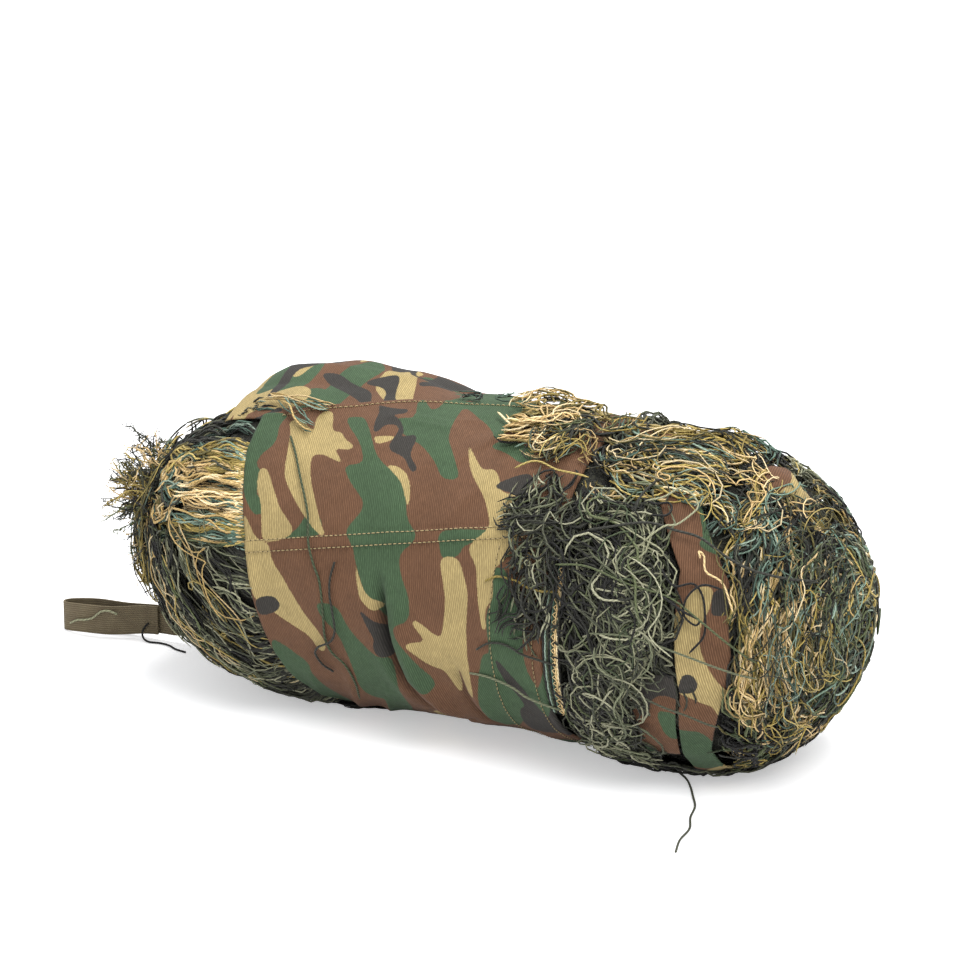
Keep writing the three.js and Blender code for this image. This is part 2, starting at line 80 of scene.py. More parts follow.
def makeStudio():
    lamps = {
        "key": dict(at=(1.3, -1.0, 2.3), size=1.5, power=52),
        "fill": dict(at=(-1.9, -2.0, 1.4), size=1.8, power=9),
        "top": dict(at=(-0.2, 0.7, 2.6), size=1.3, power=50),
    }
    for name, lamp in lamps.items():
        data = bpy.data.lights.new(name, "AREA")
        data.size = lamp["size"]
        data.energy = lamp["power"]
        light = bpy.data.objects.new(name, data)
        light.location = lamp["at"]
        light.rotation_mode = "QUATERNION"
        light.rotation_quaternion = (Vector((0, 0, 0.1)) - light.location).to_track_quat("-Z", "Y")
        scene.collection.objects.link(light)
    world = bpy.data.worlds.new("studio")
    world.use_nodes = True
    world.node_tree.nodes["Background"].inputs["Color"].default_value = (0.97, 0.98, 1, 1)
    world.node_tree.nodes["Background"].inputs["Strength"].default_value = 0.76
    scene.world = world
    scene.view_settings.view_transform = "Standard"
    bm = bmesh.new()
    bmesh.ops.create_grid(bm, x_segments=2, y_segments=2, size=40)
    floor = newPiece("floor", bm)
    paper, tree = newMaterial("floorPaper")
    shader = tree.nodes["Principled BSDF"]
    shader.inputs["Base Color"].default_value = (0.9, 0.9, 0.91, 1)
    shader.inputs["Roughness"].default_value = 0.85
    shader.inputs["Emission Color"].default_value = (1, 1, 1, 1)
    # it glows to the eye only, so shadows on it stay faint and the roll's underside stays dark
    seen = node(tree, "ShaderNodeLightPath").outputs["Is Camera Ray"]
    tree.links.new(maths(tree, "MULTIPLY", seen, 0.42), shader.inputs["Emission Strength"])
    floor.data.materials.append(paper)


# helpers for meshes

def newPiece(name, bm):
    mesh = bpy.data.meshes.new(name)
    bm.to_mesh(mesh)
    bm.free()
    piece = bpy.data.objects.new(name, mesh)
    scene.collection.objects.link(piece)
    return piece


def smooth(piece):
    piece.data.polygons.foreach_set("use_smooth", [True] * len(piece.data.polygons))


def addModifier(piece, kind, **settings):
    modifier = piece.modifiers.new(kind.lower(), kind)
    for key, value in settings.items():
        setattr(modifier, key, value)


def numbersIn(text):
    return np.array([corner.split(",") for corner in text.split()], float)


def runs(text):
    xs, ys = numbersIn(text).T
    return lambda at: np.interp(at, xs, ys)


def ramp(value, start, span):
    return np.clip((value - start) / span, 0, 1)


def hump(value, centre, width, power=2):
    return np.exp(-((value - centre) / width) ** power)


def pickOne(dice, options):
    return options[dice.integers(len(options))]


def lengthAlong(points):
    steps = np.linalg.norm(np.diff(points, axis=0), axis=1)
    return np.concatenate([[0], np.cumsum(steps)])


def newGrid(columns, rows):
    # a sheet to bend into shape, and where each vertex lies on it, from 0 to 1
    bm = bmesh.new()
    bmesh.ops.create_grid(bm, x_segments=columns, y_segments=rows, size=0.5)
    return bm, np.array([v.co[:2] for v in bm.verts]) + 0.5


def bendGrid(bm, places, mergeWithin=0):
    for vert, place in zip(bm.verts, places * metre):
        vert.co = place
    if mergeWithin:
        bmesh.ops.remove_doubles(bm, verts=bm.verts, dist=mergeWithin)
    bmesh.ops.recalc_face_normals(bm, faces=bm.faces)


def mapPanel(bm, panel):
    layer = bm.loops.layers.uv.new("panel")
    for face in bm.faces:
        for loop in face.loops:
            loop[layer].uv = panel[loop.vert.index]


def attach(piece, slotName, body="bundle", *nodes):
    if nodes:
        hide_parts(*nodes)
    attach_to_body(piece, body)


# the roll's surface: x along it, an angle round it (0 front, 90 top), and a depth inwards

def fullness(x, angle):
    rightEnd = roll["rightEnd"] + roll["lean"] * np.sin(np.radians(angle))
    left = (roll["left"] + roll["leftEnd"] - x) / roll["leftEnd"]
    right = (x - roll["right"] + rightEnd) / rightEnd
    t = np.clip(np.maximum(left, right), 0, 1)
    return np.sqrt(1 - t ** roll["roundness"])


def alongFromX(x):
    x = np.asarray(x, float)
    leftShoulder = roll["left"] + roll["leftEnd"]
    rightShoulder = roll["right"] - roll["rightEnd"]
    power = roll["roundness"] / 2
    left = np.clip((leftShoulder - x) / roll["leftEnd"], 0, 1)
    right = np.clip((x - rightShoulder) / roll["rightEnd"], 0, 1)
    bent = np.clip(x, leftShoulder, rightShoulder)
    return bent - roll["endArc"] * (np.arcsin(left ** power) - np.arcsin(right ** power))


def xFromAlong(s):
    s = np.asarray(s, float)
    leftShoulder = roll["left"] + roll["leftEnd"]
    rightShoulder = roll["right"] - roll["rightEnd"]
    power = 2 / roll["roundness"]
    left = np.clip((leftShoulder - s) / roll["endArc"], 0, math.pi / 2)
    right = np.clip((s - rightShoulder) / roll["endArc"], 0, math.pi / 2)
    bent = np.clip(s, leftShoulder, rightShoulder)
    return bent - roll["leftEnd"] * np.sin(left) ** power + roll["rightEnd"] * np.sin(right) ** power


def skin(x, angle):
    r = fullness(x, angle)
    a = np.radians(angle)
    y = -roll["halfWidth"] * r * np.cos(a)
    z = roll["centreHeight"] + roll["halfHeight"] * r * np.sin(a)
    return np.stack(np.broadcast_arrays(x, y, z), -1)


def under(x, angle, depth, floor=None):
    x, angle, depth = (np.asarray(v, float) for v in (x, angle, depth))
    s = alongFromX(x)
    alongRoll = skin(xFromAlong(s + 0.5), angle) - skin(xFromAlong(s - 0.5), angle)
    roundRoll = skin(x, angle + 0.5) - skin(x, angle - 0.5)
    inward = np.cross(roundRoll, alongRoll)
    inward /= np.maximum(np.linalg.norm(inward, axis=-1, keepdims=True), 1e-6)
    points = skin(x, angle) + inward * depth[..., None]
    lowest = np.maximum(depth, 0.2) if floor is None else floor
    points[..., 2] = np.maximum(points[..., 2], lowest)
    return points


def settle(x, angle):
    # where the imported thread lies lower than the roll's full shape: at both shoulders, and along the bottom
    crown = hump(angle, 93, 38) * ramp(-x, 200, 30) * ramp(fullness(x, angle), 0, 0.6)
    bottom = ramp(-angle, 22, 30) * ramp(angle, -128, 24) * ramp(x, 40, 40)
    saddle = hump(angle, 112, 24) * hump(x, 134, 30, 4) * ramp(x, 100, 10)
    return 19 * crown + 5 * bottom + 15 * saddle + 4 * ramp(x, 236, 30)


# camouflage print: outlines of the woodland blobs as "x,angle" corners on the roll
# most corners were picked and placed on the roll outside this script

arcPerDegree = 2.33
printed = {
    "camoGreen": [
        "-185,62 -166,62 -170,58 -163,49 -172,44 -173,40 -162,37 -165,30 -155,28 -152,25 -156,23 -163,23 "
        "-177,30 -187,44 -192,52 -193,62",
        "-117,65 -111,66 -102,66 -88,59 -73,50 -46,44 -38,41 -29,30 -15,25 -30,18 -22,10 -16,6 -14,-3 "
        "-31,-6 -15,-17 1,-27 -11,-32 -27,-27 -38,-5 -55,3 -63,10 -71,19 -80,23 -69,30 -70,34 -88,40 "
        "-97,45 -81,47 -91,54 -113,62",
        "-73,80 -67,81 -61,78 -55,76 -51,78 -53,86 -42,89 -23,96 16,100 50,98 60,88 24,76 20,70 16,64 6,70 "
        "-15,76 -27,80 -33,80 -27,68 -23,62 -11,56 4,47 -11,46 -23,52 -42,58 -61,61 -79,67 -63,69 -65,73",
        "23,67 51,64 53,59 45,57 32,60 12,62",
        "0,28 16,30 49,32 37,28 24,25 22,22 14,19 6,20",
        "-121,20 -137,16 -119,18 -98,20 -101,25 -108,27 -115,27",
        "52,20 63,20 71,10 82,6 81,-13 95,-25 93,-35 64,-41 53,-49 35,-49 32,-35 40,-20 45,-11 53,-10 50,3 "
        "56,10",
        "-149,-21 -133,-24 -118,-30 -120,-38 -111,-59 -116,-68 -133,-75 -148,-71 -135,-54 -149,-41",
        "-100,-3 -81,-3 -71,-12 -50,-20 -36,-20 -42,-49 -61,-66 -65,-75 -88,-75 -61,-46 -73,-48 -79,-41 "
        "-76,-28 -81,-15 -96,-8",
        "-60,-80 -30,-84 -8,-78 10,-88 4,-100 -30,-108 -64,-100",
        "40,-62 72,-58 98,-66 92,-82 60,-92 44,-80",
    ],
    "camoTan": [
        "-163,59 -152,61 -145,58 -136,56 -141,62 -138,66 -131,66 -126,62 -122,58 -114,58 -106,55 -96,53 "
        "-98,51 -113,51 -99,46 -104,46 -119,48 -129,47 -121,38 -112,32 -100,23 -95,20 -102,20 -122,27 "
        "-142,36 -146,40 -150,47 -155,54",
        "-168,39 -160,39 -147,31 -139,26 -122,20 -132,16 -150,14 -153,20 -157,27 -165,32",
        "-172,23 -165,20 -157,15 -143,14 -141,9 -131,4 -112,-8 -102,-14 -96,-19 -99,-23 -104,-24 -110,-17 "
        "-129,-13 -138,-11 -157,-6 -164,4 -167,14",
        "-84,58 -67,60 -68,58 -78,55 -83,57",
        "-63,48 -52,48 -42,46 -35,42 -31,36 -31,34 -42,42 -52,45",
        "-5,62 8,56 18,52 28,53 35,50 41,45 57,45 63,35 68,33 61,23 52,19 56,10 52,7 45,6 41,12 38,19 26,25 "
        "43,32 30,42 8,51",
        "41,12 55,12 49,4 51,-1 47,-2 44,5",
        "5,20 22,21 32,12 34,7 32,-5 33,-27 28,-32 22,-16 19,-31 15,-30 10,-21 -1,-20 -19,-13 -18,-11 "
        "-2,-10 -13,-4 -10,-2 6,-7 12,-7 15,5 11,12",
        "65,28 80,28 82,25 78,21 71,21",
        "-67,14 -61,8 -55,3 -39,0 -48,-3 -60,1 -63,6",
        "-27,-52 -19,-49 5,-46 3,-51 -9,-63 -23,-75 -46,-75 -34,-63",
        "-110,-84 -84,-88 -70,-98 -84,-108 -112,-100 -124,-92",
    ],
    "camoBlack": [
        "-100,74 -92,73 -81,73 -73,74 -71,71 -81,69 -71,67 -63,63 -63,60 -54,62 -49,61 -47,53 -36,49 -35,47 "
        "-40,47 -50,52 -69,54 -67,63 -73,65 -81,64 -83,60 -87,60 -90,63 -94,70",
        "34,48 55,54 63,52 70,42 78,37 74,33 66,35 59,45 36,46",
        "-156,-6 -139,-4 -133,-7 -137,-10 -153,-13",
        "-63,-2 -48,-6 -36,-9 -34,-15 -36,-20 -48,-20 -51,-16 -48,-12",
        "55,-10 74,-21 82,-28 93,-38 93,-48 74,-51 61,-49 64,-35 74,-31 59,-19",
        "-30,-62 -12,-60 14,-66 10,-74 -14,-72 -34,-78",
    ],
}
printLeft, printRight, printLow, printHigh = -186, 90, -100, 96


def roundedOutline(text):
    if not isinstance(text, str):
        return text
    corners = numbersIn(text)
    corners[:, 1] *= arcPerDegree
    for _ in range(2):  # cut the corners twice, which rounds them
        after = np.roll(corners, -1, 0)
        corners = np.stack([corners * 0.78 + after * 0.22, corners * 0.22 + after * 0.78], 1).reshape(-1, 2)
    return corners


def scatteredPrint(seed, left, right, low, high, pitch=66):
    # the same blobs strewn afresh over another panel, turned and slanted
    dice = np.random.default_rng(seed)
    share = {"camoGreen": 0.8, "camoTan": 0.5, "camoBlack": 0.42}
    pattern = {}
    for colour, outlines in printed.items():
        pattern[colour] = []
        for x in np.arange(left, right, pitch):
            for arc in np.arange(low * arcPerDegree, high * arcPerDegree, pitch):
                if dice.uniform() > share[colour]:
                    continue
                outline = roundedOutline(pickOne(dice, outlines))
                turn = dice.choice([0, math.pi]) + dice.normal(0, 0.4)
                spun = (outline - outline.mean(0)) @ np.array([[math.cos(turn), -math.sin(turn)],
                                                              [math.sin(turn), math.cos(turn)]])
                spun[:, 0] *= dice.choice([-1, 1]) * dice.uniform(0.85, 1.15)
                pattern[colour].append(spun + (x + dice.uniform(0, pitch), arc + dice.uniform(0, pitch)))
    return pattern


def distanceInside(points, outline):
    start = outline[None]
    run = np.roll(outline, -1, 0)[None] - start
    rel = points[:, None] - start
    t = np.clip((rel * run).sum(-1) / np.maximum((run * run).sum(-1), 1e-9), 0, 1)
    gap = np.linalg.norm(rel - run * t[..., None], axis=-1).min(1)
    crosses = (rel[..., 1] < 0) != (rel[..., 1] - run[..., 1] < 0)
    reach = rel[..., 0] - run[..., 0] * rel[..., 1] / np.where(np.abs(run[..., 1]) < 1e-9, 1e-9, run[..., 1])
    odd = (crosses & (reach < 0)).sum(1) % 2
    return np.where(odd == 1, gap, -gap)


sleevePrint = {
    "camoGreen": ["180,62 190,58 206,45 204,40 230,38 220,66",
                  "196,-30 206,-31 215,-32 222,-40 222,-60 190,-60"],
    "camoTan": ["209,25 223,27 223,18 219,13 219,4 225,-4 231,-10 239,-16 236,-22 231,-28 227,-21 219,-19 "
                "214,-17 206,-15 190,-4 190,8 200,14 206,20",
                "196,-62 222,-58 222,-70 200,-76"],
    "camoBlack": ["208,-7 213,-6.5 217,-8 219,-11 217,-14 211,-15 204,-14",
                  "223,26 236,28 236,17 229,16 225,16 223,20"],
}
sidePrint = {
    "camoGreen": ["186,-22 198,-22 208,-26 204,-36 190,-36", "120,-36 176,-38 176,-48 120,-50"],
    "camoTan": ["176,8 200,10 200,-2 190,-5 180,-4"],
    "camoBlack": ["178,-3 196,-1 214,-15 212,-19 196,-15 184,-17 180,-26 174,-24 170,-10"],
}
hoodPrint = {
    "camoGreen": ["206,74 216,74 214,104 204,104"],
    "camoTan": ["232,72 262,72 262,106 226,106 228,96 236,88"],
    "camoBlack": [],
}


def printFields(x, angle, shift=(0, 0), pattern=None):
    # how far each point lies inside each colour, in mm; the print repeats mirrored past its edges
    x = np.ravel(x) + shift[0]
    arc = (np.ravel(angle) + shift[1]) * arcPerDegree
    width, height = printRight - printLeft, (printHigh - printLow) * arcPerDegree
    across = np.abs((x - printLeft) % (2 * width) - width)
    rise = np.abs((arc - printLow * arcPerDegree) % (2 * height) - height)
    points = np.stack([printRight - across, printHigh * arcPerDegree - rise], 1)
    if pattern:
        points = np.stack([x, arc], 1)
    fields = {}
    for colour, outlines in (pattern or printed).items():
        best = np.full(len(points), -12.0)
        for text in outlines:
            outline = roundedOutline(text)
            low, high = outline.min(0) - 12, outline.max(0) + 12
            near = ((points > low) & (points < high)).all(1)
            if near.any():
                best[near] = np.maximum(best[near], distanceInside(points[near], outline))
        fields[colour] = best
    return fields


# materials

def newMaterial(name):
    material = bpy.data.materials.new(name)
    material.use_nodes = True
    return material, material.node_tree


def paint(r, g, b):
    def linear(c):
        c /= 255
        return c / 12.92 if c <= 0.04045 else ((c + 0.055) / 1.055) ** 2.4
    return (linear(r), linear(g), linear(b), 1)


def node(tree, kind, links=None, values=None, **settings):
    made = tree.nodes.new(kind)
    for key, value in settings.items():
        setattr(made, key, value)
    for key, value in (values or {}).items():
        made.inputs[key].default_value = value
    for key, socket in (links or {}).items():
        tree.links.new(socket, made.inputs[key])
    return made


def maths(tree, operation, a, b=None, c=None):
    made = tree.nodes.new("ShaderNodeMath")
    made.operation = operation
    for k, value in enumerate((a, b, c)):
        if value is None:
            continue
        if isinstance(value, (int, float)):
            made.inputs[k].default_value = value
        else:
            tree.links.new(value, made.inputs[k])
    return made.outputs[0]


def fade(tree, value, low, high, toLow=0.0, toHigh=1.0):
    values = {"From Min": low, "From Max": high, "To Min": toLow, "To Max": toHigh}
    return node(tree, "ShaderNodeMapRange", {"Value": value}, values).outputs[0]


def mixed(tree, factor, a, b, blend="MIX"):
    made = node(tree, "ShaderNodeMix", data_type="RGBA", blend_type=blend)
    for k, value in ((0, factor), (6, a), (7, b)):
        if isinstance(value, (int, float, tuple)):
            made.inputs[k].default_value = value
        else:
            tree.links.new(value, made.inputs[k])
    return made.outputs[2]


def attribute(tree, name, kind="Fac"):
    return node(tree, "ShaderNodeAttribute", attribute_name=name).outputs[kind]


def noise(tree, place, scale, detail, **more):
    values = {"Scale": scale, "Detail": detail, **more}
    return node(tree, "ShaderNodeTexNoise", {"Vector": place}, values).outputs[0]


def shaded(tree, tone, shade):
    grey = node(tree, "ShaderNodeCombineColor", {0: shade, 1: shade, 2: shade}).outputs[0]
    return mixed(tree, 1.0, tone, grey, "MULTIPLY")


def finishMaterial(tree, tone, roughness, height, bump, levels=None):
    shader = tree.nodes["Principled BSDF"]
    values = {"Strength": bump[0], "Distance": bump[1]}
    raised = node(tree, "ShaderNodeBump", {"Height": height}, values)
    tree.links.new(tone, shader.inputs["Base Color"])
    tree.links.new(roughness, shader.inputs["Roughness"])
    tree.links.new(raised.outputs[0], shader.inputs["Normal"])
    for label, level in (levels or {}).items():
        shader.inputs[label].default_value = level


def newGroup(name, inputs, outputs):
    group = bpy.data.node_groups.new(name, "ShaderNodeTree")
    for label, kind, value in inputs:
        socket = group.interface.new_socket(label, in_out="INPUT", socket_type=kind)
        if value is not None:
            socket.default_value = value
    for label, kind in outputs:
        group.interface.new_socket(label, in_out="OUTPUT", socket_type=kind)
    return group, group.nodes.new("NodeGroupInput"), group.nodes.new("NodeGroupOutput")


def makeWaleGroup():
    # fine ribs that run round the roll, with the weave's own small grain
    group, source, result = newGroup(
        "ribbedWeave",
        [("Panel", "NodeSocketVector", None), ("Pitch", "NodeSocketFloat", 1.6),
         ("Slant", "NodeSocketFloat", 0.2)],
        [("Height", "NodeSocketFloat"), ("Shade", "NodeSocketFloat")])
    split = node(group, "ShaderNodeSeparateXYZ", {0: source.outputs["Panel"]})
    slanted = maths(group, "MULTIPLY_ADD", split.outputs[1], source.outputs["Slant"], split.outputs[0])
    turns = maths(group, "DIVIDE", slanted, source.outputs["Pitch"])
    rib = maths(group, "SINE", maths(group, "MULTIPLY", turns, 2 * math.pi))
    weft = maths(group, "SINE", maths(group, "MULTIPLY", split.outputs[1], 2 * math.pi / 0.9))
    # the ribs break up along their length, where the fibres lie unevenly
    stretch = maths(group, "MULTIPLY", split.outputs[1], 0.13)
    streaks = noise(group, node(group, "ShaderNodeCombineXYZ", {0: slanted, 1: stretch}).outputs[0], 1.5, 3.0)
    strength = fade(group, streaks, 0.32, 0.68, 0.15, 0.75)
    ribbed = maths(group, "MULTIPLY_ADD", weft, 0.16, maths(group, "MULTIPLY", rib, strength))
    height = maths(group, "MULTIPLY_ADD", maths(group, "SUBTRACT", streaks, 0.5), 1.5, ribbed)
    group.links.new(height, result.inputs["Height"])
    # painted light and shade: raised ribs and streaks lighter, grooves darker
    group.links.new(fade(group, height, -0.9, 0.9), result.inputs["Shade"])
    return group


def makeTwistGroup():
    # two plies twisted round each other along a thread
    group, source, result = newGroup(
        "twistedPlies",
        [("Around", "NodeSocketVector", None), ("Lay", "NodeSocketFloat", 4.0)],
        [("Height", "NodeSocketFloat"), ("Shade", "NodeSocketFloat")])
    split = node(group, "ShaderNodeSeparateXYZ", {0: source.outputs["Around"]})
    turn = maths(group, "ARCTAN2", split.outputs[1], split.outputs[0])
    along = maths(group, "MULTIPLY", split.outputs[2], 2 * math.pi)
    along = maths(group, "DIVIDE", along, source.outputs["Lay"])
    ply = maths(group, "SINE", maths(group, "MULTIPLY_ADD", turn, 2.0, along))
    group.links.new(ply, result.inputs["Height"])
    # painted light and shade: the plies' crests lighter, the grooves between them darker
    group.links.new(fade(group, ply, -1, 1, 0.62, 1.12), result.inputs["Shade"])
    return group


def makeCamoMaterial():
    colours = dict(camoGreen=paint(62, 82, 57), camoTan=paint(160, 141, 95), camoBlack=paint(52, 49, 45))
    material, tree = newMaterial("camoCloth")
    panel = node(tree, "ShaderNodeUVMap", uv_map="panel").outputs[0]
    # the print's edge wanders a little with the ribs it was printed on
    wander = maths(tree, "MULTIPLY_ADD", noise(tree, panel, 0.55, 4.0), 1.6, -0.8)
    tone = paint(98, 69, 49)
    for name, colour in colours.items():
        inside = fade(tree, maths(tree, "ADD", attribute(tree, name), wander), -0.35, 0.35)
        tone = mixed(tree, inside, tone, colour)
    ribs = node(tree, "ShaderNodeGroup", {"Panel": panel}, node_tree=waleGroup)
    # painted light and shade: the raised ribs lighten the print's colour, the grooves darken it
    ribShade = fade(tree, ribs.outputs["Shade"], 0, 1, 0.42, 1.56)
    faded = fade(tree, noise(tree, panel, 0.03, 5.0, Roughness=0.6), 0.3, 0.75, 0.88, 1.14)
    # painted shade: the print's colour is darkened in the fold valleys
    paintedValleyShade = fade(tree, attribute(tree, "paintedCreaseShade"), 0, 1, 1.0, 0.3)
    tone = shaded(tree, tone, maths(tree, "MULTIPLY", maths(tree, "MULTIPLY", ribShade, faded), paintedValleyShade))
    roughness = fade(tree, ribs.outputs["Shade"], 0, 1, 0.82, 0.7)
    finishMaterial(tree, tone, roughness, ribs.outputs["Height"], (0.5, 0.0003),
                   {"Specular IOR Level": 0.2, "Sheen Weight": 0.05, "Sheen Roughness": 0.5})
    return material


def makeThreadMaterial():
    material, tree = newMaterial("twistedThread")
    around = attribute(tree, "threadRun", "Vector")
    plies = node(tree, "ShaderNodeGroup", {"Around": around}, node_tree=twistGroup)
    # painted light and shade from the twisted plies multiply the thread's colour
    tone = shaded(tree, attribute(tree, "threadColour", "Color"), plies.outputs["Shade"])
    roughness = fade(tree, plies.outputs["Height"], -1, 1, 0.75, 0.55)
    finishMaterial(tree, tone, roughness, plies.outputs["Height"], (0.5, 0.0003),
                   {"Specular IOR Level": 0.3, "Sheen Weight": 0.05})
    return material


def makeBedMaterial():
    # packed thread, near black: partly the thread's own dark colour, partly painted shade for the gaps
    # between threads; raised strands lighter as painted light
    material, tree = newMaterial("shadedPackedThread")
    place = node(tree, "ShaderNodeTexCoord").outputs["Object"]
    strands = noise(tree, place, 210.0, 4.0, Distortion=2.2)
    patches = fade(tree, noise(tree, place, 22.0, 2.0), 0.4, 0.62)
    tone = mixed(tree, patches, paint(26, 24, 22), paint(44, 46, 36))
    tone = mixed(tree, fade(tree, strands, 0.5, 0.7), tone, paint(70, 70, 54))
    finishMaterial(tree, tone, fade(tree, strands, 0.3, 0.7, 0.95, 0.75), strands, (0.9, 0.004))
    return material


def makeWebbingMaterial():
    material, tree = newMaterial("strapWebbing")
    panel = node(tree, "ShaderNodeUVMap", uv_map="panel").outputs[0]
    along, across = node(tree, "ShaderNodeSeparateXYZ", {0: panel}).outputs[:2]
    # a twill of slanting picks across raised lengthwise ribs
    picks = maths(tree, "SINE", maths(tree, "MULTIPLY", maths(tree, "ADD", along, across), 4.2))
    ribs = maths(tree, "SINE", maths(tree, "MULTIPLY", across, 2 * math.pi / 1.9))
    height = maths(tree, "MULTIPLY_ADD", picks, 0.6, maths(tree, "MULTIPLY", ribs, 0.5))
    dirt = fade(tree, noise(tree, panel, 0.12, 4.0), 0.35, 0.7, 0.0, 0.45)
    # painted light and shade: raised picks lighter, grooves darker
    tone = mixed(tree, fade(tree, height, -1, 1), paint(78, 68, 49), paint(132, 118, 88))
    tone = mixed(tree, dirt, tone, paint(84, 70, 50))
    finishMaterial(tree, tone, fade(tree, height, -1, 1, 0.85, 0.65), height, (0.6, 0.0005))
    return material


def makeHiddenClothMaterial():
    # the rolled cloth inside shows only when something is taken apart
    material, tree = newMaterial("rolledCloth")
    place = node(tree, "ShaderNodeTexCoord").outputs["Object"]
    waves = {"Scale": 190.0, "Distortion": 1.0}
    weave = node(tree, "ShaderNodeTexWave", {"Vector": place}, waves).outputs[1]
    patches = fade(tree, noise(tree, place, 16.0, 1.5), 0.49, 0.51)
    tone = mixed(tree, patches, paint(112, 76, 60), paint(54, 92, 62))
    tone = mixed(tree, fade(tree, weave, 0, 1, 0.0, 0.3), tone, paint(60, 54, 44))
    finishMaterial(tree, tone, fade(tree, weave, 0, 1, 0.9, 0.75), weave, (0.4, 0.0004))
    return material


# cloth panels

def softNoise(a, b, size, seed):
    # smooth bumps from a few crossed waves
    waves = np.random.default_rng(seed)
    total = 0
    for _ in range(7):
        turn = waves.uniform(0, 2 * math.pi)
        phase = waves.uniform(0, 2 * math.pi)
        scale = waves.uniform(0.6, 1.6)
        total = total + np.sin((a * math.cos(turn) + b * math.sin(turn)) * 2 * math.pi * scale / size + phase)
    return total / 3.5


clothThickness = 0.9


def makeCloth(name, layout, columns, rows, depth, printShift=(0, 0), pattern=None, paintedShade=None):
    bm, flat = newGrid(columns, rows)
    x, angle = layout(*flat.T)
    bendGrid(bm, under(x, angle, depth(x, angle, *flat.T)))
    bm.faces.ensure_lookup_table()
    middle = bm.faces[len(bm.faces) // 2]
    outward = middle.calc_center_median() - Vector((0, 0, roll["centreHeight"] * metre))
    outward.x = 0
    if middle.normal.dot(outward) < 0:
        bmesh.ops.reverse_faces(bm, faces=bm.faces)
    mapPanel(bm, np.stack([x, angle * arcPerDegree], 1))
    piece = newPiece(name, bm)
    fields = printFields(x, angle, printShift, pattern)
    # painted shade in the fold valleys where given, else none
    fields["paintedCreaseShade"] = paintedShade(x, angle) if paintedShade else np.zeros(len(x))
    for label, field in fields.items():
        made = piece.data.attributes.new(label, "FLOAT", "POINT")
        made.data.foreach_set("value", field.astype(np.float32))
    smooth(piece)
    piece.data.materials.append(camoCloth)
    addModifier(piece, "SOLIDIFY", thickness=clothThickness * metre, offset=-1)
    return piece


wrapLeft = runs("-112.5,-118 -60,-129 -45,-145 -15,-155 15,-168 45,-188 60,-190")
freeEdge = runs("-190,61 -141,69 -73,82 3,90 98,93")
stripLeft = runs("-82.5,190 -45,196 -15,206 0,203 30,198 60,156 75,150")
stripRight = runs("-82.5,214 -45,217 -15,237 0,240 30,232 60,190 75,184")
backLeft = runs("60,-232 112.5,-236 127.5,-205 255,-195")


def edgeLine(edge):
    # an edge is a function of the angle, or one x for every angle
    return edge if callable(edge) else lambda angle: edge + 0 * angle


def seamAngle(x):
    return 11.5 + 0.0915 * (x + 165)


def crease(x, angle, line, height, steep, soft, spread=10):
    # a fold along a line: it rises steeply on one side and falls away softly on the other
    line = numbersIn(line) * (1, arcPerDegree)
    at = np.stack([x, angle * arcPerDegree], -1)
    start, run = line[:-1], line[1:] - line[:-1]
    rel = at[:, None] - start[None]
    t = np.clip((rel * run).sum(-1) / (run * run).sum(-1), 0, 1)
    away = rel - run * t[..., None]
    gap = np.linalg.norm(away, axis=-1)
    nearest = gap.argmin(1)
    pick = np.arange(len(gap))
    side = np.sign(run[nearest, 0] * rel[pick, nearest, 1] - run[nearest, 1] * rel[pick, nearest, 0])
    distance = gap[pick, nearest]
    first = np.linalg.norm(at - line[0], axis=-1)
    last = np.linalg.norm(at - line[-1], axis=-1)
    ends = np.clip(np.minimum(first, last) / spread, 0, 1)
    width = np.where(side > 0, steep, soft)
    return height * hump(distance, 0, width, 1.5) * np.sqrt(ends)


wrapFolds = [
    dict(line="-42,8 -37,-13 -31,-28 -15,-44 2,-52", height=-10, steep=3, soft=5, spread=24),
    dict(line="-28,6 -24,-13 -18,-26 -4,-40 12,-50", height=8, steep=13, soft=13, spread=30),
    dict(line="-54,0 -50,-16 -42,-32 -28,-48", height=2.5, steep=9, soft=9, spread=26),
    dict(line="20,-18 22,-34 26,-42 35,-52", height=-3.5, steep=3, soft=4, spread=18),
    dict(line="31,-16 32,-32 36,-42 44,-52", height=3.5, steep=8, soft=8, spread=22),
    dict(line="26,84 20,72 12,64 4,58", height=3, steep=2, soft=12, spread=20),
    dict(line="-82,68.5 -55,68 -25,67", height=1.5, steep=3, soft=3, spread=14),
    dict(line="-76,71.5 -50,70.8 -30,70", height=1.2, steep=2, soft=3, spread=14),
    dict(line="-30,72 -12,73.5 2,73", height=1.2, steep=2, soft=4, spread=10),
    dict(line="8,34 20,44 32,54", height=1.3, steep=6, soft=4, spread=18),
    dict(line="-152,3 -140,-1 -126,0", height=1.3, steep=3, soft=4, spread=12),
    dict(line="-152,9 -138,6 -126,8", height=1.1, steep=3, soft=4, spread=12),
    dict(line="-84,-34 -94,-52 -112,-70 -128,-84", height=4, steep=9, soft=4, spread=30),
    dict(line="-60,-44 -72,-58 -92,-76", height=3.4, steep=8, soft=5, spread=30),
    dict(line="-122,-36 -130,-52 -136,-70", height=2.4, steep=6, soft=4, spread=26),
    dict(line="60,-46 74,-60 80,-76", height=2.6, steep=8, soft=5, spread=30),
    dict(line="-6,-40 4,-56 10,-74", height=2.4, steep=7, soft=4, spread=26),
    dict(line="-100,12 -96,-4 -94,-22", height=1.4, steep=7, soft=4, spread=20),
    dict(line="-60,50 -44,36 -40,20", height=1.2, steep=9, soft=5, spread=24),
]


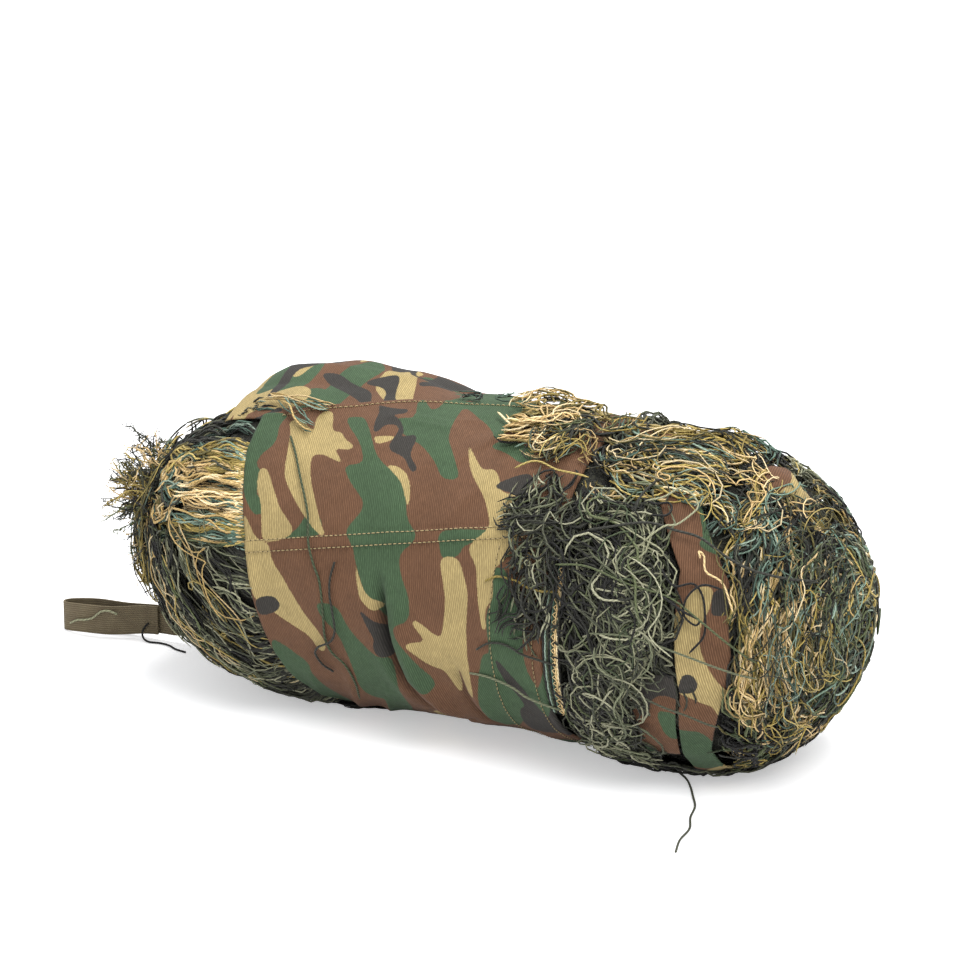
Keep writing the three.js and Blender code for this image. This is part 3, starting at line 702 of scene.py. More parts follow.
def wrapLift(x, angle):
    # how far the wrap's cloth stands off the roll, in mm
    arc = angle * arcPerDegree
    lift = 0.8 * softNoise(x, arc, 70, 3) + 0.22 * softNoise(x, arc, 26, 4) - 0.5
    for fold in wrapFolds:
        lift = lift + crease(x, angle, **fold)
    fromSeam = np.abs(angle - seamAngle(x)) * arcPerDegree
    lift = lift + 1.1 * hump(fromSeam, 0, 5.8, 6) - 0.6 * hump(fromSeam, 6.4, 1)
    # the puckers that the stitches pull along the seam
    lift = lift + 0.35 * np.sin(x * 1.1) * hump(fromSeam, 7, 5)
    for line in (wrapRight - 2, 54):
        lift = lift + np.where(angle < seamAngle(x) - 3, 0.9 * hump(x, line, 3), 0)
    # turned edges: doubled cloth just inside the hems, rolling in at the very edge
    leftGap = x - wrapLeft(angle)
    topGap = (freeEdge(x) - angle) * arcPerDegree
    lift = lift + 0.8 * hump(leftGap, 0, 7, 4) - 2.2 * hump(leftGap, 0, 1.6)
    lift = lift + 1.1 * hump(topGap, 0, 6, 4) - 1.8 * hump(topGap, 0, 1.5)
    lift = lift - 1.5 * hump(x, wrapRight, 1.5)
    lift = lift - 5.5 * hump(angle, -62, 17) * ramp(x, -110, 120)  # tucked in at the foot
    low = ramp(angle, -104, 24)  # lies flat underneath
    return lift * low - 0.2 * (1 - low)


def paintedCreaseShade(x, angle):
    # painted shade that darkens the cloth's colour in the fold valleys, from 0 to 1
    depth = sum(np.minimum(crease(x, angle, **fold), 0) for fold in wrapFolds)
    return ramp(-depth, 0, 9)


def bendWithFlap(piece):
    low, high = (Vector(under(-40, hinge + by, 0) * metre) for by in (-4, 4))
    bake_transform(piece)


wrapFoot = -112.5  # angle of the wrap's lower edge, under the roll
wrapCorner = -190  # x of its upper left corner


def makeWrap():
    def layout(u, v):
        top = freeEdge(wrapCorner + (wrapRight - wrapCorner) * u)
        angle = wrapFoot + (top - wrapFoot) * v
        leftEdge = wrapLeft(angle)
        return leftEdge + (wrapRight - leftEdge) * u, angle

    depth = lambda x, angle, u, v: -wrapLift(x, angle)
    piece = makeCloth("frontWrap", layout, 150, 250, depth, paintedShade=paintedCreaseShade)
    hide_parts("wrap_lower_panel", "wrap_upper_panel", "wrap_flap", "felled_seam", "wrap_side_hem")
    bendWithFlap(piece)


def clothArea(piece):
    return sum(face.area for face in piece.data.polygons)


def stitchRow(x, angle, lift, pitch=4.2, bite=3.2):
    # a run of stitches along a line on the roll, as short arched threads, with short dark threads between
    # them as painted shadow
    places = under(x, angle, -lift(x, angle))
    along = lengthAlong(places)
    rows, stitchShadows = [], []
    for start in np.arange(0, along[-1] - pitch, pitch):
        # between the stitches lie short dark threads, painted shadow
        for store, first, last, top in ((rows, 0, bite, 0.75), (stitchShadows, bite + 0.1, pitch - 0.1, 0.2)):
            at = start + np.linspace(first, last, 3)
            xs, angles = np.interp(at, along, x), np.interp(at, along, angle)
            store.append(under(xs, angles, -lift(xs, angles) - np.array([0.1, top, 0.1])))
    return rows, stitchShadows


def makeStitches():
    sewing = dict(fromSeam=4.75, fromFreeEdge=6.5, downRows=(54, 89), thread=0.45, shadowThread=0.5)
    span = np.linspace(-164, wrapRight - 2, 200)
    lines = [(span, seamAngle(span) + side * sewing["fromSeam"] / arcPerDegree) for side in (-1, 1)]
    edge = np.linspace(-172, wrapRight - 2, 200)
    lines.append((edge, freeEdge(edge) - sewing["fromFreeEdge"] / arcPerDegree))
    for line in sewing["downRows"]:
        down = np.linspace(float(seamAngle(line)) - 4, -98, 160)
        lines.append((np.full(160, float(line)), down))
    stitches, stitchShadows = [], []
    for x, angle in lines:
        row, shadowMarks = stitchRow(x, angle, wrapLift)
        stitches += row
        stitchShadows += shadowMarks
    # the dark threads between the stitches are painted shadow
    tones = [np.array(paint(176, 156, 112))] * len(stitches) + [np.array(paint(34, 32, 26))] * len(stitchShadows)
    radii = [sewing["thread"]] * len(stitches) + [sewing["shadowThread"]] * len(stitchShadows)
    piece = threadMesh("wrapStitches", stitches + stitchShadows, tones, radii)
    bendWithFlap(piece)


def makeSidePanels():
    def patch(left, right, low, high):
        def layout(u, v):
            angle = low + (high - low) * v
            a, b = edgeLine(left)(angle), edgeLine(right)(angle)
            return xFromAlong(alongFromX(a) + (alongFromX(b) - alongFromX(a)) * u), angle
        return layout

    def backDepth(x, angle, u, v):
        arc = angle * arcPerDegree
        alongSwell = ramp(x, -245, 35) * ramp(-x, 60, 50)
        roundSwell = ramp(angle, 84, 12) * ramp(-angle, -150, 30)
        lift = 9 * alongSwell * roundSwell + 1.2 * softNoise(x, arc, 80, 8)
        lift = lift + 1.6 * softNoise(x * 0.5, arc, 46, 12) * (angle > 100)
        lift = lift * ramp(angle, 74, 10) * ramp(-angle, -250, 20)
        return 3.6 - lift + 2 * hump(x, backLeft(angle), 2)

    backPrint = scatteredPrint(5, -280, 120, 40, 262)
    # the corner that shows over the top: green at the end, then tan, with a black band running down it
    corner = {
        "camoGreen": "-250,72 -214,70 -182,76 -176,92 -190,104 -250,104",
        "camoTan": "-206,72 -190,64 -164,68 -166,78 -182,82 -196,78",
        "camoBlack": "-176,90 -160,91 -140,86 -120,84 -110,76 -114,74 -134,79 -160,84",
    }
    for colour, outline in corner.items():
        backPrint[colour].append(roundedOutline(outline))
    shape = patch(backLeft, wrapRight - 2, 60, 255)
    back = makeCloth("backPanel", shape, 110, 190, backDepth, pattern=backPrint)
    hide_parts("jacket_back_panel")

    def stripDepth(x, angle, u, v):
        hemEdge = 0.8 * hump(u, 1, 0.12, 4) - 1.6 * hump(u, 1, 0.03)
        return -0.6 - 0.9 * softNoise(x, angle * arcPerDegree, 50, 21) - hemEdge

    shape = patch(stripLeft, stripRight, -82.5, 60)
    strip = makeCloth("sleeveStrip", shape, 26, 150, stripDepth, pattern=sleevePrint)
    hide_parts("sleeve_strip")
    sideDepth = lambda x, angle, u, v: -0.2 - 0.8 * softNoise(x, angle * arcPerDegree, 40, 31)
    edge = lambda angle: stripLeft(angle) - 2.5
    side = makeCloth("sidePanel", patch(168, edge, -45, -7.5), 20, 44, sideDepth, pattern=sidePrint)
    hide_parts("side_panel")

    def hoodDepth(x, angle, u, v):
        # proud in the middle, with its edges tucked in among the threads
        crowned = (np.sin(math.pi * np.clip(u, 0, 1)) * np.sin(math.pi * np.clip(v, 0, 1))) ** 0.45
        return settle(x, angle) + 1 - 7.5 * crowned - 1.8 * softNoise(x, angle * arcPerDegree, 24, 41)

    hood = makeCloth("hoodEdge", patch(214, 249, 79, 99), 24, 28, hoodDepth, pattern=hoodPrint)
    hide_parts("hood_edge")
    collar = makeCloth("collarEdge", patch(104, 150, 82.5, 97.5), 24, 20, hoodDepth, (30, -44))
    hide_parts("collar_edge")
    cuts = [  # each panel's length round the roll in degrees, how it is held, and what it lies on
        (back, 195, "gathered", ["jacket_outer_ply"]),
        (strip, 142.5, "laid", ["cascadeStrawThreads", "greyLowerThreads"]),
        (side, 37.5, "laid", ["blackUnderThreads"]),
        (hood, 20, "folded", ["topEndThreads"]),
        (collar, 15, "folded", ["topFrontThreads"]),
    ]
    for piece, degrees, held, restsOn in cuts:
        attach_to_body(piece, "bundle")
        length = degrees * arcPerDegree * metre
        area = clothArea(piece)
        note(f"{piece.name}: {1000 * area / length:.0f} x {1000 * length:.0f} mm of cloth")


# threads

palettes = {
    "black": [(28, 27, 24), (38, 37, 33), (22, 21, 19), (50, 50, 43)],
    "dark": [(46, 47, 38), (60, 61, 49), (36, 36, 29), (80, 82, 64)],
    "grey": [(150, 150, 120), (122, 126, 98), (98, 102, 78), (170, 169, 140), (72, 75, 58)],
    "green": [(84, 92, 60), (64, 74, 50), (104, 112, 76)],
    "olive": [(172, 150, 78), (138, 120, 60), (106, 98, 54), (196, 174, 102)],
    "straw": [(240, 210, 154), (220, 188, 130), (196, 166, 106), (246, 224, 176)],
    "teal": [(122, 146, 128), (90, 116, 100), (148, 168, 150), (68, 88, 76)],
}


def threadMesh(name, strands, colours, radii, bevel=0, frayed=True):
    # round threads along lists of points in mm, each vertex knowing its place round and along the thread
    curve = bpy.data.curves.new(name, "CURVE")
    curve.dimensions = "3D"
    curve.bevel_depth = metre
    curve.bevel_resolution = bevel
    for points, radius in zip(strands, radii):
        spline = curve.splines.new("POLY")
        spline.points.add(len(points) - 1)
        co = np.ones((len(points), 4), np.float32)
        co[:, :3] = points * metre
        spline.points.foreach_set("co", co.ravel())
        taper = np.full(len(points), radius, np.float32)
        if frayed:
            taper[[0, -1]] *= 0.35
        spline.points.foreach_set("radius", taper)
    holder = bpy.data.objects.new(name + "Curve", curve)
    scene.collection.objects.link(holder)
    mesh = bpy.data.meshes.new_from_object(holder.evaluated_get(bpy.context.evaluated_depsgraph_get()))
    bpy.data.objects.remove(holder)
    mesh.name = name
    sides = 4 + 2 * bevel
    turns = np.radians(90 + 360 * np.arange(sides) / sides)
    ring = np.stack([np.cos(turns), np.sin(turns)], 1)
    spun, tones = [], []
    for points, colour in zip(strands, colours):
        along = lengthAlong(points)
        spun.append(np.concatenate([np.tile(ring, (len(points), 1)), np.repeat(along, sides)[:, None]], 1))
        tones.append(np.tile(colour, (len(points) * sides, 1)))
    made = mesh.attributes.new("threadRun", "FLOAT_VECTOR", "POINT")
    made.data.foreach_set("vector", np.concatenate(spun).astype(np.float32).ravel())
    made = mesh.attributes.new("threadColour", "FLOAT_COLOR", "POINT")
    made.data.foreach_set("color", np.concatenate(tones).astype(np.float32).ravel())
    if not frayed:
        bm = bmesh.new()
        bm.from_mesh(mesh)
        bmesh.ops.holes_fill(bm, edges=[e for e in bm.edges if e.is_boundary], sides=sides)
        bm.to_mesh(mesh)
        bm.free()
    piece = bpy.data.objects.new(name, mesh)
    scene.collection.objects.link(piece)
    smooth(piece)
    mesh.materials.append(twistedThread)
    return piece


def pickTone(dice, name, brightness=1.0):
    colour = np.array(paint(*pickOne(dice, palettes[name])))
    colour[:3] *= brightness * dice.uniform(0.85, 1.15)
    return colour


overrun = 1.25  # a lock's guide runs on past the mean length of its threads


def growLocks(seed, across, around, locks, heading, tones, length=110, step=5, width=4, bunch=0.4, swing=0.35,
              swingLength=80, curl=0, curlLength=50, loose=1.2, lift=(-6, 5), rise=0, size=0.85, ceiling=None,
              mixing=0.35, over=6, top=360):
    # a lock's guide wanders over the roll along its heading; its threads run beside it with their own curls
    dice = np.random.default_rng(seed)
    left, right = (edgeLine(edge) for edge in across)
    low, high = around
    locks, perLock = locks
    count = locks * perLock
    course = heading if callable(heading) else lambda x, angle: heading
    steps = int(length * overrun / step) + 1
    walked = np.arange(steps) * step
    angle = dice.uniform(low, high, locks)
    share = dice.uniform(0, 1, locks)
    s = alongFromX(left(angle)) * (1 - share) + alongFromX(right(angle)) * share
    startPhase = dice.uniform(0, 2 * math.pi, (2, locks))
    swings = swing * dice.uniform(0.5, 1.5, locks)
    rate = 2 * math.pi / (swingLength * dice.uniform(0.7, 1.3, locks))
    offCourse = dice.normal(0, 0.14, locks)
    guide = []
    for d in walked:
        x = xFromAlong(s)
        way = np.radians(course(x, angle)) + offCourse
        way = way + swings * np.sin(d * rate + startPhase[0])
        way = way + 0.35 * swings * np.sin(2.1 * d * rate + startPhase[1])
        guide.append((s, angle, way))
        radius = roll["halfWidth"] * np.maximum(fullness(x, angle), 0.15)
        s = s + step * np.cos(way)
        angle = angle + np.degrees(step * np.sin(way) / radius)
    guideS, guideAngle, way = (np.array(v).T[np.repeat(np.arange(locks), perLock)] for v in zip(*guide))
    column = lambda kind, *limits: getattr(dice, kind)(*limits, count)[:, None]
    phase = lambda: column("uniform", 0, 6.3)
    share = walked / (length * overrun)
    offset = column("normal", 0, width)
    offset = offset * (1 - bunch * np.sin(math.pi * (share * 1.3 + column("uniform", 0, 0.3))) ** 2)
    ownRate = 2 * math.pi / (38 * column("uniform", 0.7, 1.5))
    looseness = loose * column("uniform", 0.5, 1.5)
    offset = offset + looseness * np.sin(walked * ownRate + phase())
    forward = 0
    if curl:
        hand = np.sign(column("normal", 0, 1))
        turn = walked * 2 * math.pi / (curlLength * column("uniform", 0.6, 1.5)) * hand
        turn = turn + phase()
        reach = curl * column("uniform", 0.35, 1.5)
        reach = reach * (0.75 + 0.35 * np.sin(walked * ownRate * 0.6 + phase()))
        offset = offset + reach * np.sin(turn)
        forward = reach * np.cos(turn)
    ss = guideS - offset * np.sin(way) + forward * np.cos(way)
    xs = xFromAlong(ss)
    radius = roll["halfWidth"] * np.maximum(fullness(xs, guideAngle), 0.15)
    angles = guideAngle + np.degrees((offset * np.cos(way) + forward * np.sin(way)) / radius)
    base = np.repeat(dice.uniform(lift[0], lift[1], locks), perLock)[:, None] + column("uniform", -1.8, 1.8)
    lifts = base + 1.3 * np.sin(walked * ownRate * 1.3 + phase())
    arch = np.sin(math.pi * np.clip(share * 1.2, 0, 1)) ** 2
    lifts = lifts + rise * column("uniform", 0.2, 1.0) * arch
    lifts = lifts - settle(xs, angles)
    if ceiling:
        lifts = np.minimum(lifts, ceiling(xs, angles))
    inside = (guideAngle > low - over) & (guideAngle < min(high + over, top))
    inside &= (guideS > alongFromX(left(guideAngle)) - 3) & (guideS < alongFromX(right(guideAngle)) + 3)
    reaches = length * dice.uniform(0.55, 1.25, count)
    inside &= walked[None] < reaches[:, None]
    places = under(xs, angles, -lifts, floor=0.9)
    if callable(tones):
        choice = tones(guideAngle[:, 0], xs[:, 0], dice)
    else:
        names = tones.split()[::2]
        weights = np.array(tones.split()[1::2], float)
        weights /= weights.sum()
        stray = dice.uniform(0, 1, count) < mixing
        choice = np.where(stray, dice.choice(names, count, p=weights),
                          np.repeat(dice.choice(names, locks, p=weights), perLock))
    paintedDepthLight = np.clip((base[:, 0] - lift[0] + 2) / (lift[1] - lift[0] + 4), 0, 1)  # painted shade: deeper threads are darker, outer ones lighter
    strands, colours, radii = [], [], []
    for k in range(count):
        stop = int(np.argmin(inside[k])) if not inside[k].all() else steps
        first = int(dice.uniform(0, 0.15) * stop)
        if stop - first < 4:
            continue
        strands.append(places[k, first:stop])
        colours.append(pickTone(dice, choice[k], 0.5 + 0.62 * paintedDepthLight[k]))
        radii.append(size * dice.uniform(0.78, 1.15))
    return strands, colours, radii


def makeHank(name, slotName, nodes, patches, body="bundle"):
    strands, colours, radii = [], [], []
    for patch in patches:
        for store, part in zip((strands, colours, radii), growLocks(**patch)):
            store.extend(part)
    piece = threadMesh(name, strands, colours, radii)
    attach(piece, slotName, body, *nodes)
    note(f"{name}: {len(strands)} threads, {2 * len(piece.data.polygons)} triangles")


def bandedStraw(angle, x, dice):
    # the combed threads lie in rows of one colour
    bands = [(43, "teal"), (38, "olive"), (27, "straw"), (23, "teal"), (16, "straw"), (12, "teal"),
             (8, "olive")]
    names = np.full(len(angle), "green", dtype="<U6")
    for edge, tone in reversed(bands):
        names[angle + 3 * np.sin(x / 9) > edge] = tone
    swap = dice.uniform(0, 1, len(angle)) < 0.25
    names[swap] = dice.choice(["straw", "teal", "olive", "dark"], swap.sum())
    return names


def tuckLeft(x, angle):
    # threads dive under the wrap's left hem
    return np.where(angle < 62, np.clip(-3 + 0.9 * (wrapLeft(angle) - x), -3.5, 30), 30)


def makeLeftHanks():
    hem = lambda angle: wrapLeft(angle) + 5
    sweep = lambda x, a: -84 + 50 * ramp(x, -285, 120)
    makeHank("leftBlackThreads", "dark_thread", ["left_black_hank"], [
        dict(seed=11, across=(-300, hem), around=(40, 68), locks=(64, 10), length=140, swing=0.3,
             heading=lambda x, a: 176 + 34 * ramp(-x, 235, 50), lift=(-7, 1), ceiling=tuckLeft,
             tones="black 6 dark 3 teal 1.6 grey 1"),
    ])
    makeHank("leftStrawThreads", "straw_thread", ["left_straw_hank"], [
        dict(seed=12, across=(-250, hem), around=(6, 46), locks=(80, 9), heading=2, tones=bandedStraw,
             length=95, swing=0.24, swingLength=46, width=2.6, lift=(-4, 4), ceiling=tuckLeft),
        dict(seed=13, across=(-268, -226), around=(4, 46), locks=(26, 6), tones=bandedStraw, length=70,
             heading=190, swing=0.8, swingLength=60, curl=4, curlLength=50, lift=(-2, 5)),
    ])
    makeHank("leftSweepThreads", "olive_thread", ["left_olive_hank"], [
        dict(seed=14, across=(-306, hem), around=(-42, 30), locks=(84, 10), heading=sweep, length=170,
             tones="dark 5 black 6 grey 3.4 green 1 olive 0.8", lift=(-7, 4), ceiling=tuckLeft),
        dict(seed=15, across=(-276, hem), around=(-46, 12), locks=(26, 7), heading=sweep, length=170,
             tones="grey 3 dark 4 black 3 green 1", swing=0.5, lift=(2, 7), width=5, size=0.8,
             ceiling=tuckLeft),
        dict(seed=25, across=(-270, hem), around=(-40, 20), locks=(14, 3), heading=sweep, length=150,
             tones="grey 5 straw 0.6 olive 1", curl=10, curlLength=60, lift=(4, 9), rise=4, size=0.6,
             ceiling=tuckLeft),
    ])
    makeHank("leftDarkThreads", "grey_thread", ["left_dark_hank", "left_under_hank"], [
        dict(seed=16, across=(-302, hem), around=(-98, -30), locks=(86, 9), length=150, step=6,
             ceiling=tuckLeft, heading=lambda x, a: -44 + 38 * ramp(x, -260, 80), lift=(-6, 5),
             tones="black 4.4 dark 4 grey 3 olive 0.8"),
        dict(seed=26, across=(-170, -96), around=(-92, -62), locks=(12, 6), length=80, heading=-16,
             lift=(3, 6), curl=3, tones="black 5 dark 3"),
    ])
    rear = lambda angle: backLeft(angle) + 6
    tuckRear = lambda x, angle: np.clip(-8 + 0.8 * (rear(angle) - x), -8, 30)
    makeHank("leftRearThreads", "olive_thread", ["left_rear_upper_hank", "left_rear_lower_hank"], [
        dict(seed=17, across=(-312, rear), around=(108, 262), locks=(110, 9), step=7,
             heading=lambda x, a: 150 + 70 * np.sin(np.radians(a * 2)), length=130, swing=0.5, lift=(-6, 3),
             tones="dark 4 black 3 olive 2 grey 2 straw 1 teal 1"),
        dict(seed=27, across=(lambda a: rear(a) - 60, rear), around=(108, 262), locks=(60, 9), step=6,
             heading=lambda x, a: -60 + 30 * np.sin(a / 20), length=120, swing=0.5, ceiling=tuckRear,
             tones="dark 5 black 4 olive 2 grey 2 straw 0.7 teal 1"),
    ])
    makeHank("leftCrownThreads", "dark_thread", ["left_crown_hank"], [
        dict(seed=18, across=(-312, -234), around=(56, 116), locks=(56, 9), length=100, lift=(-7, 2),
             heading=205, tones="black 4 dark 2 teal 3.4 olive 1.2"),
    ])
    makeHank("leftEndThreads", "dark_thread", ["left_end_hank"], [
        dict(seed=19, across=(-320, -282), around=(-100, 262), locks=(120, 7), length=80, step=5,
             heading=lambda x, a: -100 + 60 * np.sin(np.radians(a * 3)), swing=0.6, curl=3, lift=(-5, 5),
             tones="dark 4 black 4 olive 2 grey 1 straw 1 teal 1"),
        dict(seed=20, across=(-316, -268), around=(-30, 50), locks=(34, 3), length=80, step=4, heading=-95,
             curl=7, curlLength=46, lift=(2, 8), rise=7, size=0.6, tones="olive 3 straw 0.7 teal 1 dark 4"),
    ])
    makeHank("cornerThreads", "straw_thread", [], body="flap", patches=[
        dict(seed=21, across=(-205, -136), around=(60, 72), locks=(5, 6), length=66, heading=-12,
             lift=(2.4, 4), swing=0.5, width=4, size=0.75, tones="straw 3 olive 2 teal 2"),
        # a wisp caught along the flap's free edge
        dict(seed=28, across=(-66, -4), around=(88, 92), locks=(7, 6), length=34, step=4, heading=6,
             lift=(2.4, 4.4), swing=0.9, curl=3, curlLength=24, width=2.5, size=0.6, over=2,
             tones="teal 4 black 3 dark 2 straw 0.6"),
    ])


def makeRightHanks():
    overStrip = lambda angle: stripLeft(angle) + 6
    besideStrip = lambda angle: stripLeft(angle) - 3
    loops = "grey 4 green 1.2 dark 3.4 black 4"
    greyEdge = runs("-40,152 -18,154 -8,170 4,188")
    makeHank("blackUnderThreads", "dark_thread", ["black_under_hank"], [
        dict(seed=31, across=(104, overStrip), around=(-97, 60), locks=(80, 10), length=140, step=7,
             lift=(-9, -2), heading=-86, swing=0.5, loose=2, tones="black 6 dark 4 grey 0.7"),
        dict(seed=44, across=(100, 166), around=(-96, -40), locks=(40, 5), length=110, step=4, heading=-84,
             curl=6, lift=(-1, 6), rise=4, size=0.8, tones="black 5 dark 4 grey 1"),
    ])
    makeHank("greyUpperThreads", "grey_thread", ["grey_upper_hank"], [
        dict(seed=32, across=(70, besideStrip), around=(22, 58), locks=(52, 7), length=170, step=4, over=24,
             top=hinge + 1, heading=lambda x, a: -74 + 34 * np.sin(x / 17), curl=9, curlLength=52, width=6,
             swing=0.6, lift=(-3, 8), tones=loops, mixing=0.5),
        dict(seed=45, across=(54, 120), around=(14, 56), locks=(24, 4), length=100, step=4, over=12,
             top=hinge + 1, heading=lambda x, a: 205 + 60 * np.sin(a / 6), curl=6, curlLength=44,
             lift=(1, 6), size=0.75, tones=loops, mixing=0.4),
    ])
    makeHank("greyLowerThreads", "grey_thread", ["grey_middle_hank", "grey_lower_hank"], [
        dict(seed=33, across=(114, greyEdge), around=(-46, 30), locks=(54, 8), size=0.78,
             heading=lambda x, a: -80 + 24 * np.sin(x / 15), curl=9, curlLength=52, width=6, swing=0.5,
             length=190, step=4, lift=(-3, 7), mixing=0.5, over=14, tones="grey 3 green 1 dark 4 black 6"),
        dict(seed=46, across=(116, lambda a: greyEdge(a) + 14), around=(-36, 34), locks=(26, 3), length=220,
             step=4, heading=-78, curl=12, curlLength=62, lift=(5, 10), size=0.8, over=16, tones="grey 1"),
    ])
    makeHank("topFrontThreads", "straw_thread", ["top_front_hank"], [
        dict(seed=34, across=(100, 196), around=(54, 98), locks=(90, 8), length=130, swing=0.6,
             heading=lambda x, a: -10 + 26 * np.sin(x / 22), curl=3.5, curlLength=60, lift=(-7, 3), loose=2,
             tones="olive 4 straw 2.6 teal 2.8 dark 3 black 2.4"),
        dict(seed=47, across=(96, 196), around=(54, 100), locks=(40, 3), length=90, step=4,
             heading=lambda x, a: 10 + 60 * np.sin(x / 18), curl=8, curlLength=50, lift=(0, 4), rise=8,
             size=0.62, tones="olive 4 straw 3 teal 2 dark 2"),
    ])
    makeHank("topEndThreads", "teal_thread", ["top_end_hank"], [
        dict(seed=35, across=(184, 290), around=(54, 106), locks=(90, 8), length=120, loose=2,
             heading=lambda x, a: -40 + 40 * np.sin(a / 9), curl=4, curlLength=56, lift=(-8, 4), swing=0.5,
             tones="teal 4 olive 2.6 straw 1.4 dark 4 black 3"),
        dict(seed=48, across=(190, 284), around=(56, 104), locks=(36, 3), length=80, step=4,
             heading=lambda x, a: -60 + 60 * np.sin(x / 14), curl=7, curlLength=46, lift=(-2, 2), rise=6,
             size=0.6, tones="teal 3 olive 3 straw 2 dark 2"),
    ])
    beside = lambda angle: stripRight(angle) + 1
    tip = 292
    makeHank("cascadeTealThreads", "teal_thread", ["cascade_teal_hank"], [
        dict(seed=36, across=(beside, tip), around=(20, 66), locks=(74, 9), length=130, loose=2, curl=3,
             heading=-82, lift=(-6, 6), tones="teal 4 dark 4 olive 2 black 3 straw 1"),
    ])
    makeHank("cascadeStrawThreads", "straw_thread", ["cascade_straw_hank"], [
        dict(seed=37, across=(beside, 286), around=(-30, 48), locks=(84, 10), length=150, lift=(-6, 3),
             heading=-88, swing=0.28, width=3.4, loose=1.6,
             tones="olive 3 straw 1.2 green 3 dark 4 black 3.4"),
        dict(seed=38, across=(lambda a: stripRight(a) + 8, 274), around=(-22, 52), locks=(17, 7), length=150,
             heading=-88, swing=0.42, swingLength=70, width=3, loose=2, lift=(2, 8), tones="straw 6 olive 2"),
        dict(seed=49, across=(beside, 284), around=(-30, 54), locks=(20, 3), length=110, step=4, heading=-80,
             curl=7, curlLength=60, lift=(4, 9), rise=4, size=0.62, tones="straw 3 olive 3 teal 1"),
    ])
    makeHank("cascadeOliveThreads", "olive_thread", ["cascade_olive_hank"], [
        dict(seed=39, across=(beside, tip), around=(-70, -8), locks=(84, 9), length=120, loose=2, curl=4,
             heading=-76, lift=(-6, 7), step=4.5, tones="olive 2.6 dark 4 green 2 black 3 straw 1.4"),
    ])
    makeHank("bottomThreads", "dark_thread", ["bottom_fringe"], [
        dict(seed=40, across=(120, 288), around=(-100, -50), locks=(84, 8), length=130, curl=4,
             heading=lambda x, a: -30 + 30 * np.sin(x / 18), lift=(-5, 7), rise=3, loose=2, step=4.5,
             tones="black 5 dark 4 green 1 straw 0.4"),
    ])
    for part, low, high in (("upper", 94, 182), ("lower", 178, 264)):
        makeHank(f"rightRear{part.title()}Threads", "grey_thread", [f"right_rear_{part}_hank"], [
            dict(seed=41 + low, across=(99, 286), around=(low, high), locks=(125, 8), length=130,
                 heading=lambda x, a: 95 + 40 * np.sin(x / 30 + a / 14), swing=0.5, step=8, loose=2, curl=4,
                 tones="grey 3 dark 4 black 3 olive 2 teal 1.4 straw 1"),
            dict(seed=42 + low, across=(94, 150), around=(low, high), locks=(44, 8), length=110,
                 heading=lambda x, a: -96 + 24 * np.sin(a / 14), swing=0.4, step=7, loose=2, over=2,
                 tones="grey 3 dark 4 black 4 olive 1.4 teal 1"),
        ])
    makeHank("rightEndThreads", "dark_thread", ["right_end_hank"], [
        dict(seed=42, across=(268, 294), around=(-100, 262), locks=(120, 8), length=100, step=5,
             heading=lambda x, a: -88 + 24 * np.sin(np.radians(a * 3)), lift=(-5, 6), curl=3,
             tones="dark 3 black 2 green 2 olive 2.4 teal 1.6 straw 1.8 grey 3"),
        dict(seed=50, across=(250, 294), around=(-60, 120), locks=(70, 3), length=80, step=4, heading=-88,
             curl=8, curlLength=44, lift=(1, 8), rise=13, size=0.5,
             tones="dark 4 teal 2 green 2 olive 2 straw 1"),
    ])
    makeHank("flapTuftThreads", "straw_thread", ["flap_tuft"], body="flap", patches=[
        dict(seed=43, across=(22, 106), around=(66, 90), locks=(24, 5), length=90, swing=0.7,
             heading=lambda x, a: 188 + 26 * np.sin(a / 4), lift=(2, 7), rise=6, width=3, curl=2, over=7,
             tones="olive 4 straw 3 dark 1"),
        dict(seed=51, across=(50, 106), around=(60, 92), locks=(38, 4), length=60, step=4,
             heading=lambda x, a: 170 + 80 * np.sin(x / 9), lift=(2, 6), curl=6, curlLength=46, rise=4,
             size=0.6, over=1, tones="olive 4 straw 2 dark 3 teal 1 green 2"),
        dict(seed=52, across=(4, 70), around=(86, 100), locks=(10, 4), length=70, step=4,
             heading=lambda x, a: 186 + 40 * np.sin(x / 9), lift=(4, 9), curl=5, curlLength=50, rise=4,
             size=0.6, over=4, tones="olive 4 straw 3 dark 1"),
    ])


crossingThreads = [
    # single threads that cross the sleeve strip and the wrap, as x, angle
    dict(tone="black", lift=9, size=1.0, route="125,36 141,38 167,42 187,42 205,42 225,38 243,36 262,38 "
                                               "276,44"),
    dict(tone="black", lift=8, size=1.0, route="155,45 155,52 159,57 163,58"),
    dict(tone="black", lift=8, size=0.9, route="155,50 167,49 175,51 179,49 177,46 167,45"),
    dict(tone="black", lift=6, size=0.9, route="181,31 187,28 197,24 209,26 217,22 221,14 221,8 213,2"),
    dict(tone="black", lift=8, size=0.9, route="185,21 195,19 207,16 217,14 215,12 207,15 207,21 215,26 "
                                               "227,26"),
    dict(tone="green", lift=9, size=0.8, route="107,24 133,25 165,22 195,20 217,14 237,6 253,-2"),
    dict(tone="grey", lift=8, size=0.8, route="139,5 173,6 205,2 231,-3 253,-9"),
    dict(tone="grey", lift=8, size=0.8, route="139,-4 169,-11 195,-18 213,-22 229,-28"),
    dict(tone="grey", lift=9, size=0.8, route="159,49 171,52 179,57 189,56 195,53 193,49 187,44 179,42 "
                                              "169,36"),
    dict(tone="straw", lift=8, size=0.8, route="209,35 207,37 211,36 215,31 227,28 237,18"),
    dict(tone="olive", lift=6, size=0.8, route="47,53 63,57 83,55 109,54"),
]
